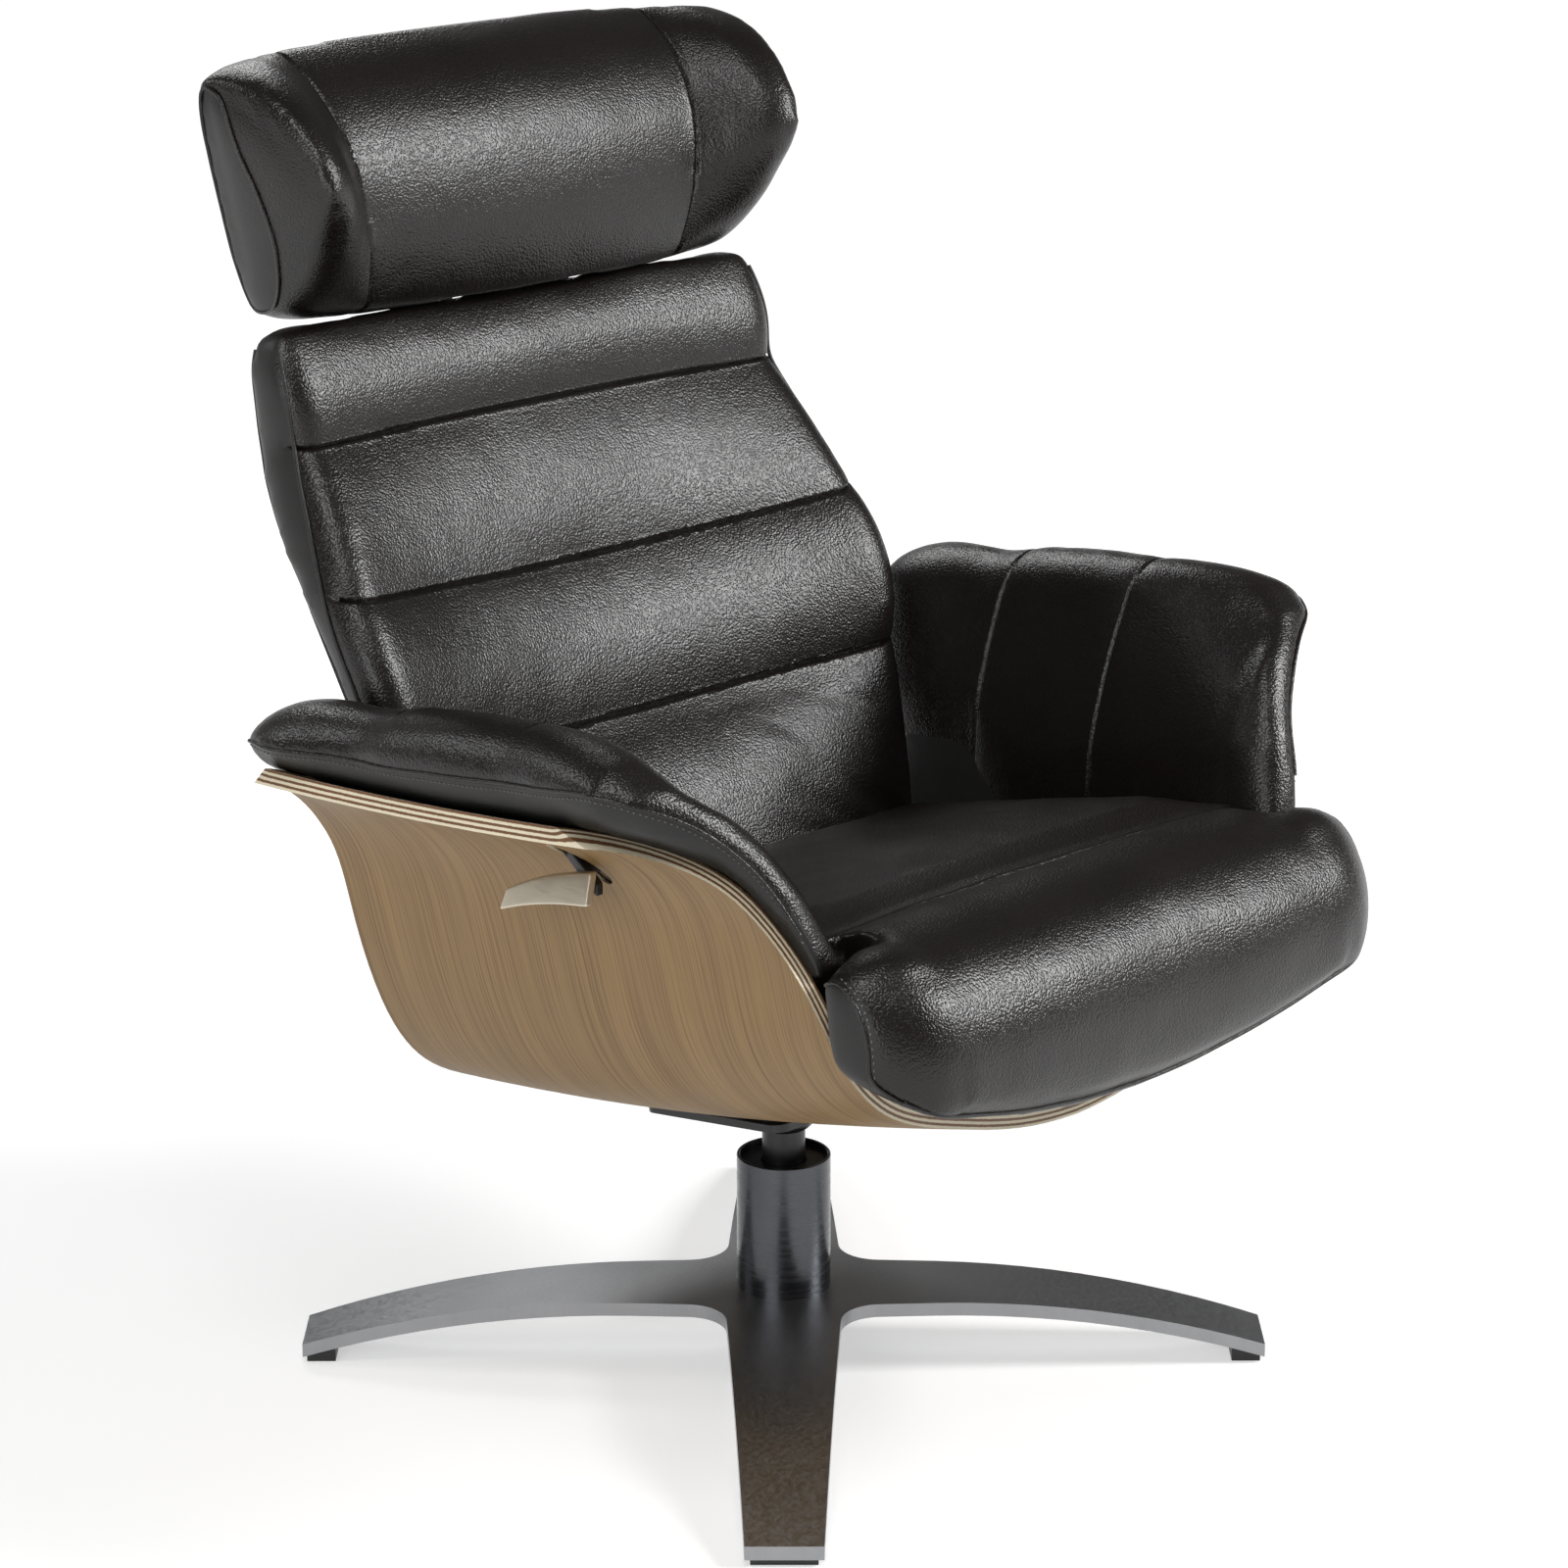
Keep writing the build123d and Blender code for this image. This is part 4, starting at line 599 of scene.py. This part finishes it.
def paint_faces(piece, index, chosen):
    """Gives the faces that chosen picks, from their centres and normals, the material of that index."""
    count = len(piece.data.polygons)
    centres, normals = np.empty(count * 3), np.empty(count * 3)
    piece.data.polygons.foreach_get("center", centres)
    piece.data.polygons.foreach_get("normal", normals)
    current = np.zeros(count, dtype=np.int32)
    piece.data.polygons.foreach_get("material_index", current)
    current[chosen(centres.reshape(-1, 3), normals.reshape(-1, 3))] = index
    piece.data.polygons.foreach_set("material_index", current)
    piece.data.update()


# ---------------------------------------------------------------- where things lie and the leather is sewn
SIDES = (("left", 1), ("right", -1))
SHADE_SHEET_END = 0.120  # painted shade: in front of the back the shell's inner face takes the dark boxing leather, a dark sheet for the shade between the arm pads and the seat
SHELL_MIDDLE = 0.75  # height of the point that the shell's inner face looks at
SEAT_CREASE = np.array((0, 0.078, 0.375))  # where the seat meets the back
SEAT_ALONG = np.array((0, -0.9748, 0.2232))  # forward along the seat
SEAT_UP = np.array((0, 0.2232, 0.9748))  # square to it, upward
SEAT_SEAM = SEAT_CREASE + 0.3385 * SEAT_ALONG  # the front roll is sewn on here
# Welts of the left half, as points that they pass.
SEAT_WELT = [(0.264, -0.296, 0.441), (0.264, -0.310, 0.446), (0.264, -0.325, 0.437), (0.264, -0.336, 0.421),
             (0.264, -0.341, 0.403), (0.262, -0.342, 0.385), (0.254, -0.352, 0.371), (0.240, -0.362, 0.361)]
SEAT_FRONT_WELT = [(0, -0.362, 0.312), (0.1, -0.365, 0.322), (0.206, -0.369, 0.347), (0.226, -0.369, 0.355),
                   (0.248, -0.358, 0.366)]
BACK_SEAMS = ((0.489, 0.009), (0.600, 0.014), (0.713, -0.002))  # height, and rise at the sides
BACK_WELT = [(0.240, 0.282, 0.780), (0.244, 0.268, 0.745), (0.246, 0.262, 0.713), (0.254, 0.230, 0.656),
             (0.262, 0.196, 0.600), (0.264, 0.165, 0.548), (0.262, 0.146, 0.500), (0.255, 0.126, 0.450)]
BACK_REAR_WELT = [(0.245, 0.312, 0.779), (0.243, 0.312, 0.745), (0.243, 0.312, 0.716), (0.250, 0.293, 0.664),
                  (0.262, 0.251, 0.610), (0.275, 0.195, 0.540), (0.268, 0.170, 0.490), (0.255, 0.150, 0.440)]
HEAD_MIDDLE = 0.895  # height that the headrest's leaning planes are measured from
HEAD_SEAM, HEAD_SEAM_LEAN = 0.170, 0.12  # the seams between the middle and the wings
HEAD_END, HEAD_END_LEAN = 0.2475, 0.23  # the panels at the ends of the wings
# Outline of an end panel, as y and z.
HEAD_PANEL = [(0.343, 0.800), (0.346, 0.876), (0.341, 0.955), (0.337, 0.969), (0.326, 0.971), (0.300, 0.925),
              (0.284, 0.880), (0.284, 0.845), (0.302, 0.808), (0.318, 0.799)]
ARM_TUCKS = (0.044, -0.085)  # y of the tucks across an arm pad
ARM_WELT = [(0.370, 0.180, 0.531), (0.368, 0.114, 0.534), (0.365, 0.044, 0.539), (0.364, -0.020, 0.547),
            (0.361, -0.085, 0.555), (0.368, -0.140, 0.563), (0.372, -0.189, 0.570), (0.354, -0.214, 0.564),
            (0.319, -0.231, 0.548), (0.291, -0.249, 0.523), (0.273, -0.266, 0.493), (0.264, -0.279, 0.468)]
SHADE_SHEET_GAP = 0.005  # the arm pads keep this far inside the shell's inner face, which carries the dark sheet of painted shade
LEVER_ROOM = (-0.145, -0.035, 0.442, 0.518)  # y and z of the dent in the right pad for the lever's neck
NECK_END = -0.3115  # x where the lever's black neck ends
STRIP_PLACE, STRIP_SIZE = (-0.3065, -0.1125, 0.4915), (0.007, 0.042, 0.009)
BLADE_PLACE, BLADE_SIZE = (-0.3215, -0.0915, 0.4725), (0.007, 0.088, 0.021)
SKY = 0.11  # strength of the studio's even light


# ---------------------------------------------------------------- pieces
class RECLINER_OT_stage(bpy.types.Operator):
    """Builds the pale floor, the soft lights and the camera"""

    bl_idname = "recliner.stage"
    bl_label = "Stage"

    def execute(self, context):
        bpy.ops.object.select_all(action="DESELECT")
        bpy.ops.mesh.primitive_plane_add(size=160, location=(0, 0, 0))
        floor = context.active_object
        floor.name = "studio_floor"
        floor.data.materials.append(material("white_paper"))

        # The sky is even, but the eye sees it as pale as the floor's far end near the horizon.
        world = bpy.data.worlds.new("studio")
        context.scene.world = world
        world.use_nodes = True
        tree = world.node_tree
        tree.nodes.clear()
        coords = add_node(tree, "ShaderNodeTexCoord").outputs["Generated"]
        height = add_node(tree, "ShaderNodeSeparateXYZ", (coords,)).outputs["Z"]
        pale = add_node(tree, "ShaderNodeMapRange", (height, 0.05, 0.14, 1, SKY))
        power = add_node(tree, "ShaderNodeMath", (seen_by_eye(tree, pale), SKY), operation="MAXIMUM")
        studio = add_node(tree, "ShaderNodeBackground", {"Color": (1, 1, 1, 1), "Strength": power})
        add_node(tree, "ShaderNodeOutputWorld", {"Surface": studio})

        for name, place, aim, size, watts in (
            ("key", (1.9, -2.3, 2.3), (0, 0, 0.55), (1.0, 1.4), 115),
            ("overhead", (-1.2, -1.0, 3.3), (0, 0, 0.6), (1.1, 1.1), 34),
            ("fill", (-3.2, -0.9, 1.5), (0, 0, 0.4), (1.8, 1.8), 42),
            ("rear", (1.2, 2.6, 2.5), (0, 0, 0.7), (1.6, 0.8), 26),
            ("rear left", (-1.9, 2.6, 2.6), (0, 0, 0.6), (1.2, 1.2), 22),
        ):
            lamp = bpy.data.lights.new(name, "AREA")
            lamp.shape = "RECTANGLE"
            (lamp.size, lamp.size_y), lamp.energy = size, watts
            light = new_object(name, lamp)
            light.location = place
            light.rotation_euler = (Vector(aim) - Vector(place)).to_track_quat("-Z", "Y").to_euler()

        lens = bpy.data.cameras.new("camera")
        lens.lens, lens.sensor_width, lens.shift_y = 103.56, 36, -0.0142
        camera = new_object("camera", lens)
        camera.location = (-2.279, -2.273, 1.4433)
        down, round_z = 16.74, -45.08  # degrees
        camera.rotation_euler = (math.radians(90 - down), 0, math.radians(round_z))
        context.scene.camera = camera
        context.scene.view_settings.view_transform = "Standard"
        return {"FINISHED"}


class RECLINER_OT_metalwork(bpy.types.Operator):
    """Finishes the base, the column and the mechanism"""

    bl_idname = "recliner.metalwork"
    bl_label = "Metalwork"

    def execute(self, context):
        finish_nodes("brushed_graphite", ["star_base"])
        finish_nodes("turned_gunmetal", ["column_sleeve"])
        finish_nodes("black_powder_coat", [
            "swivel_post", "post_collar", "mounting_plate", "column_tube", "chassis", "left_seat_rail",
            "right_seat_rail", "back_bracket", "lever_bracket", "headrest_yoke"])
        finish_nodes("black_nylon", [
            "sleeve_cap", "lower_bushing", "upper_bushing", "thrust_washer", "glide_1", "glide_2", "glide_3",
            "glide_4", "left_post_guide", "right_post_guide", "left_seat_runner", "right_seat_runner",
            "gas_spring_cylinder"])
        finish_nodes("black_rubber", ["plate_spacers"])
        finish_nodes("zinc_plated_steel", [
            "glide_screws", "retaining_bolt", "plate_bolts", "chassis_nuts", "rail_screws", "bracket_screws",
            "recline_axle", "rod_pin", "spring_pin", "gas_spring_rod", "lever_pin", "headrest_core"])
        finish_nodes("plain_plywood", ["seat_pan"])
        return {"FINISHED"}


class RECLINER_OT_lever(bpy.types.Operator):
    """Builds the release lever: a satin blade on a black neck"""

    bl_idname = "recliner.lever"
    bl_label = "Release lever"

    def block(self, name, place, scale, cuts):
        """A block at its place, cut into a mesh that can be shaped."""
        bpy.ops.object.select_all(action="DESELECT")
        bpy.ops.mesh.primitive_cube_add(size=1, location=place, scale=scale)
        block = bpy.context.active_object
        block.name = block.data.name = name
        bpy.ops.object.transform_apply(location=True, rotation=True, scale=True)
        edit(block, (bpy.ops.mesh.subdivide, {"number_cuts": cuts}))
        return block

    def execute(self, context):
        neck = copy_of("lever_neck", "lever")
        edit(neck, (bpy.ops.mesh.bisect, {"plane_co": (NECK_END, 0, 0), "plane_no": (1, 0, 0),
                                          "clear_inner": True, "use_fill": True}))
        smooth(neck, 40)
        complete(neck, "nickel", "lever", ["lever"], "black_powder_coat", padded=None)

        strip = self.block("lever_strip", STRIP_PLACE, STRIP_SIZE, 2)
        points = points_of(strip)
        along = (points[:, 1] - STRIP_PLACE[1]) / (STRIP_SIZE[1] / 2)  # -1 at the front, 1 at the rear
        points[:, 2] += 0.0125 * along
        points[:, 0] -= 0.004 * (1 - along) / 2
        move_points(strip, points)
        modify(strip, "BEVEL", width=0.0012, segments=2, limit_method="ANGLE")
        smooth(strip, 40)
        complete(strip, "nickel", "lever", [], "black_powder_coat", padded=None)

        blade = self.block("lever_blade", BLADE_PLACE, BLADE_SIZE, 3)
        points = points_of(blade)
        middle = BLADE_PLACE[2]
        along = (points[:, 1] - BLADE_PLACE[1]) / (BLADE_SIZE[1] / 2)
        high = (points[:, 2] - middle) * (1 - 0.18 * beyond(along, 0.5, 1.2) - 0.15 * (along + 1) / 2)
        points[:, 2] = middle + high - 0.0135 * along - 0.004 * along ** 2
        points[:, 0] += 0.5 * high + 0.002 * along ** 2
        points[:, 1] += 0.3 * high * below(along, -0.7, 0.4)
        move_points(blade, points)
        modify(blade, "BEVEL", width=0.002, segments=2, limit_method="ANGLE")
        modify(blade, "SUBSURF", levels=2, render_levels=2)
        smooth(blade, 60)
        complete(blade, "nickel", "lever", [], "satin_nickel", padded=None)
        return {"FINISHED"}


class RECLINER_OT_shell(bpy.types.Operator):
    """Builds the bent plywood shell with veneered faces and sawn edges"""

    bl_idname = "recliner.shell"
    bl_label = "Plywood shell"

    def execute(self, context):
        shell = copy_of("plywood_shell", "shell")
        complete(shell, "oak", "swivel", ["shell"], "oiled_oak_veneer", "sawn_plywood", "smooth_leather",
                 padded=None)
        veneer, sawn, shade_sheet = range(3)
        edit(shell, (bpy.ops.mesh.bisect, {"plane_co": (0, SHADE_SHEET_END, 0), "plane_no": (0, 1, 0)}))
        for polygon in shell.data.polygons:
            polygon.material_index = sawn
        outer, inner = [], []
        for index in itertools.chain(*regions_of(shell, 20)[:2]):  # the two faces of the board
            polygon = shell.data.polygons[index]
            away = polygon.center - Vector((0, polygon.center.y, SHELL_MIDDLE))
            outside = away.dot(polygon.normal) > 0
            # Painted shade: the inner face in front of the back takes the dark boxing leather, a dark sheet for
            # the shade between the pads and the seat.
            polygon.material_index = veneer if outside or polygon.center.y > SHADE_SHEET_END else shade_sheet
            (outer if outside else inner).append(index)
        trees = tree_of(shell, outer), tree_of(shell, inner)
        divide_faces(shell, [p.index for p in shell.data.polygons if p.material_index == sawn], 3)
        thickness = shell.data.uv_layers.new(name="thickness").data
        for polygon in [p for p in shell.data.polygons if p.material_index == sawn]:
            for loop in polygon.loop_indices:
                spot = shell.data.vertices[shell.data.loops[loop].vertex_index].co
                to_outer, to_inner = (tree.find_nearest(spot)[3] for tree in trees)
                thickness[loop].uv = (to_outer / max(to_outer + to_inner, 1e-6), 0.5)
        smooth(shell, 30)
        return {"FINISHED"}


class RECLINER_OT_seat(bpy.types.Operator):
    """Builds the seat cushion with its front roll, wings and piping"""

    bl_idname = "recliner.seat"
    bl_label = "Seat cushion"

    def execute(self, context):
        sizes = context.scene.recliner_sizes
        seat = soft_piece("seat_leather", 3, "seat_cushion")
        points = points_of(seat)
        underside = below((points - SEAT_CREASE) @ SEAT_UP, -0.045, 0.02) * (points[:, 1] > -0.29)
        fill(seat, pressure=4, limit=0.010, held=np.maximum.reduce([
            near((points - SEAT_SEAM) @ SEAT_ALONG), underside, below(points[:, 2], 0.335, 0.02),
            beyond(np.abs(points[:, 0]), 0.262, 0.008)]))
        ruffle(seat, height=0.0013, size=0.08)
        points = points_of(seat)
        wings = beyond(np.abs(points[:, 0]), 0.236, 0.02) * below(points[:, 1], -0.2, 0.04)
        soften(seat, 40, wings)
        modify(seat, "SUBSURF", levels=1, render_levels=1)
        cut_seam(seat, SEAT_SEAM, SEAT_ALONG, sizes.seam, 0.0018, lambda p: (
            beyond((p - SEAT_CREASE) @ SEAT_UP, -0.03, 0.02) * below(np.abs(p[:, 0]), 0.222, 0.012)))
        complete(seat, "leather", "seat", ["seat_cushion"], "pebbled_leather", "smooth_leather")
        paint_faces(seat, 1, lambda c, n: (np.abs(c[:, 0]) > 0.2575) & (np.abs(n[:, 0]) > 0.55))
        smooth(seat, 60)
        for name, side in SIDES:
            piping(f"seat_{name}_welt", seat, mirrored(SEAT_WELT, side), "pebbled_leather", "leather", "seat")
            row = [(side * (x - 0.0065), y, z) for x, y, z in SEAT_WELT[1:-2]]
            stitching(f"seat_{name}_stitches", seat, row, "bonded_thread", "leather", "seat")
        front = [*mirrored(SEAT_FRONT_WELT[:0:-1], -1), *SEAT_FRONT_WELT]
        piping("seat_front_welt", seat, front, "pebbled_leather", "leather", "seat")
        return {"FINISHED"}


class RECLINER_OT_back(bpy.types.Operator):
    """Builds the back in four sewn panels, with its boxing and the leather behind"""

    bl_idname = "recliner.back"
    bl_label = "Back cushion"

    def execute(self, context):
        sizes = context.scene.recliner_sizes
        back = soft_piece("back_leather", 10, "back_cushion", "back_board", "back_cover")
        points = points_of(back)
        wide, high = np.abs(points[:, 0]), points[:, 2]
        seams = np.min([np.abs(high - z) for z, _ in BACK_SEAMS], axis=0)
        rear = 1.0 - (normals_of(back)[:, 1] < -0.2)
        rim = beyond(wide - welt_at(BACK_WELT, high, 2, 0), -0.02, 0.02)
        boxing = beyond(wide, 0.2, 0.02) * beyond(points[:, 1] - welt_at(BACK_WELT, high, 2, 1), 0.006, 0.008)
        fill(back, pressure=4, limit=0.006, held=np.maximum.reduce([near(seams), rear, 0.8 * rim]))
        soften(back, 8, np.ones(len(points)))
        soften(back, 40, boxing)
        ruffle(back, height=0.0010, size=0.08)
        modify(back, "SUBSURF", levels=1, render_levels=1)
        for z, _ in BACK_SEAMS:
            cut_seam(back, (0, 0, z), (0, 0, 1), sizes.seam, 0.0035,
                     lambda p: below(normals_of(back)[:, 1], -0.25, 0.3))
        points = points_of(back)  # the seams rise to the sides, then the top rises
        knots, lifts = zip((0.345, 0), *BACK_SEAMS, (0.79, 0))
        points[:, 2] += np.interp(points[:, 2], knots, lifts) * (points[:, 0] / 0.26) ** 2
        points[:, 2] += 0.004 * beyond(points[:, 2], 0.775, 0.03) * below(points[:, 1], 0.305, 0.01)
        move_points(back, points)
        complete(back, "leather", "back", ["back_cushion", "back_board", "back_cover"],
                 "pebbled_leather", "smooth_leather")
        paint_faces(back, 1, lambda c, n: (n[:, 1] > 0.35) | (
            (np.abs(n[:, 0]) > 0.3) & (np.abs(c[:, 0]) > 0.2) & (c[:, 1] > welt_at(BACK_WELT, c[:, 2], 2, 1))))
        smooth(back, 60)
        for name, side in SIDES:
            for place, line in (("welt", BACK_WELT), ("rear_welt", BACK_REAR_WELT)):
                piping(f"back_{name}_{place}", back, mirrored(line, side), "smooth_leather", "side_leather",
                       "back")
        return {"FINISHED"}


class RECLINER_OT_headrest(bpy.types.Operator):
    """Builds the winged headrest with its end panels and piping"""

    bl_idname = "recliner.headrest"
    bl_label = "Headrest"

    def execute(self, context):
        sizes = context.scene.recliner_sizes
        head = soft_piece("headrest_leather", 6, "headrest_cushion")
        points = points_of(head)
        seams = np.abs(points[:, 0]) - head_x(HEAD_SEAM, HEAD_SEAM_LEAN, points[:, 2])
        fill(head, pressure=4, limit=0.011, held=np.maximum.reduce([
            near(seams), beyond(points[:, 1], 0.335, 0.01), below(points[:, 2], 0.803, 0.01)]))
        ruffle(head, height=0.0010, size=0.08)
        points = points_of(head)
        wings = beyond(np.abs(points[:, 0]), 0.200, 0.03)
        soften(head, 80, wings)  # rounds the wings, which are filled out again
        full = wings * below(np.abs(normals_of(head)[:, 0]), 0.8, 0.3) * beyond(points[:, 2], 0.82, 0.06)
        points = points_of(head) + normals_of(head) * (0.0065 * full)[:, None]
        points[:, 2] -= 0.0075 * below(points[:, 2], 0.835, 0.05) * (1 - 0.5 * (points[:, 0] / 0.24) ** 2)
        move_points(head, points)
        modify(head, "SUBSURF", levels=1, render_levels=1)
        for side in (-1, 1):
            cut_seam(head, (side * HEAD_SEAM, 0, HEAD_MIDDLE), (1, 0, -side * HEAD_SEAM_LEAN), sizes.seam, 0.0022)
        complete(head, "leather", "headrest", ["headrest_cushion"], "pebbled_leather", "smooth_leather")
        paint_faces(head, 1, lambda c, n: (
            (np.abs(n[:, 0]) > 0.4) & (np.abs(c[:, 0]) > 0.2) & within(c[:, 1:], HEAD_PANEL)))
        smooth(head, 60)
        loop = [(head_x(HEAD_END, HEAD_END_LEAN, z), y, z) for y, z in (*HEAD_PANEL, *HEAD_PANEL[:2])]
        for name, side in SIDES:
            piping(f"headrest_{name}_welt", head, mirrored(loop, side), "pebbled_leather", "leather", "headrest")
        return {"FINISHED"}


class RECLINER_OT_arms(bpy.types.Operator):
    """Builds the two arm pads with their boxings, welts and stitching"""

    bl_idname = "recliner.arms"
    bl_label = "Arm pads"

    def hang(self, points, shade_sheet):
        """Lets the inner side of the left pad hang down beside the seat, inside the shell's inner face."""
        over = (points - SEAT_CREASE) @ SEAT_UP
        rear = beyond(points[:, 1], 0.03, 0.06)
        drop = (0.022 + 0.040 * rear) * below(over - 0.050 * rear, 0.022, 0.03) * below(points[:, 0], 0.30, 0.03)
        points = points - np.outer(drop, SEAT_UP)
        for index in np.flatnonzero(drop > 0.0005):
            place, normal, *_ = shade_sheet.find_nearest(Vector(points[index]))
            sunk = (Vector(points[index]) - place).dot(normal) + SHADE_SHEET_GAP
            points[index] -= np.array(normal) * min(sunk, 0)
        return points

    def dent(self, pad):
        """Makes room for the lever's neck behind the board."""
        x, y, z = points_of(pad).T
        y_low, y_high, z_low, z_high = LEVER_ROOM
        room = (normals_of(pad)[:, 0] < 0.2) & (y > y_low) & (y < y_high) & (z > z_low) & (z < z_high)
        wall = -0.2572 - 0.30 * (z - 0.47)
        move_points(pad, np.stack([np.where(room, np.maximum(x, wall), x), y, z], axis=1))

    def execute(self, context):
        sizes = context.scene.recliner_sizes
        shell = bpy.data.objects["plywood_shell"]
        # The board's rim, and the inner faces that carry the dark sheet of painted shade.
        rim, shade_sheet = (tree_of(shell, [p.index for p in shell.data.polygons if p.material_index == k])
                       for k in (1, 2))
        left = soft_piece("left_arm_leather", 4, "left_arm_pad")
        points = points_of(left)
        tucks = np.min([np.abs(points[:, 1] - y) for y in ARM_TUCKS], axis=0)
        outside = beyond(normals_of(left)[:, 0], -0.1, 0.3) * below(points[:, 2], 0.535, 0.01)
        foot = below(points[:, 2] - welt_at(ARM_WELT, points[:, 1], 1, 2), -0.1, 0.02)
        fill(left, pressure=3, limit=0.004, held=np.maximum.reduce([near(tucks), outside, foot]))
        ruffle(left, height=0.0012, size=0.06)
        points = self.hang(points_of(left), shade_sheet)
        tops = sum(np.exp(-((points[:, 1] - y) / 0.024) ** 2) for y in ARM_TUCKS)
        points[:, 2] += 0.003 * tops * beyond(points[:, 2], 0.53, 0.04)
        away = np.array([rim.find_nearest(Vector(p))[3] for p in points])
        points[:, 0] -= 0.005 * np.clip(1.3 - away / 0.02, 0, 1)  # shows the board's edge
        move_points(left, points)
        soften(left, 6, np.ones(len(points)))
        modify(left, "SUBSURF", levels=1, render_levels=1)
        for y in ARM_TUCKS:
            cut_seam(left, (0, y, 0), (0, 1, 0), sizes.seam, 0.0018,
                     lambda p: below(normals_of(left)[:, 0], 0.3, 0.3))
        right = new_object("right_arm_leather", left.data.copy())
        move_points(right, points_of(right) * (-1, 1, 1))
        right.data.flip_normals()
        self.dent(right)
        for (name, side), pad in zip(SIDES, (left, right)):
            complete(pad, "leather", "swivel", [f"{name}_arm_pad"], "pebbled_leather", "smooth_leather")
            paint_faces(pad, 1, lambda c, n: (
                (n[:, 0] * side > 0.1) & (c[:, 2] < welt_at(ARM_WELT, c[:, 1], 1, 2) - 0.001)))
            smooth(pad, 60)
            piping(f"{name}_arm_welt", pad, mirrored(ARM_WELT, side), "pebbled_leather", "leather", "swivel")
            row = [(side * (x - 0.002), y, z - 0.0055) for x, y, z in ARM_WELT]
            stitching(f"{name}_arm_stitches", pad, row, "bonded_thread", "leather", "swivel")
        return {"FINISHED"}


class RECLINER_PT_panel(bpy.types.Panel):
    """Sizes and colours, and the operators in their order"""

    bl_label = "Swivel recliner"
    bl_space_type = "VIEW_3D"
    bl_region_type = "UI"
    bl_category = "Recliner"

    def draw(self, context):
        for group in (context.scene.recliner_colours, context.scene.recliner_sizes):
            for key in group.__annotations__:
                self.layout.prop(group, key)
        for operator in OPERATORS:
            self.layout.operator(operator.bl_idname)


OPERATORS = (RECLINER_OT_stage, RECLINER_OT_metalwork, RECLINER_OT_lever, RECLINER_OT_shell, RECLINER_OT_seat,
             RECLINER_OT_back, RECLINER_OT_headrest, RECLINER_OT_arms)
CLASSES = (ReclinerColours, ReclinerSizes, *OPERATORS, RECLINER_PT_panel)


def register():
    for cls in CLASSES:
        bpy.utils.register_class(cls)
    bpy.types.Scene.recliner_colours = bpy.props.PointerProperty(type=ReclinerColours)
    bpy.types.Scene.recliner_sizes = bpy.props.PointerProperty(type=ReclinerSizes)


def unregister():
    del bpy.types.Scene.recliner_colours
    del bpy.types.Scene.recliner_sizes
    for cls in reversed(CLASSES):
        bpy.utils.unregister_class(cls)


def main():
    """Builds the recliner."""
    register()
    bpy.ops.recliner.stage()
    bpy.ops.recliner.metalwork()
    bpy.ops.recliner.lever()
    bpy.ops.recliner.shell()
    bpy.ops.recliner.seat()
    bpy.ops.recliner.back()
    bpy.ops.recliner.headrest()
    bpy.ops.recliner.arms()


if __name__ == "__main__":
    main()
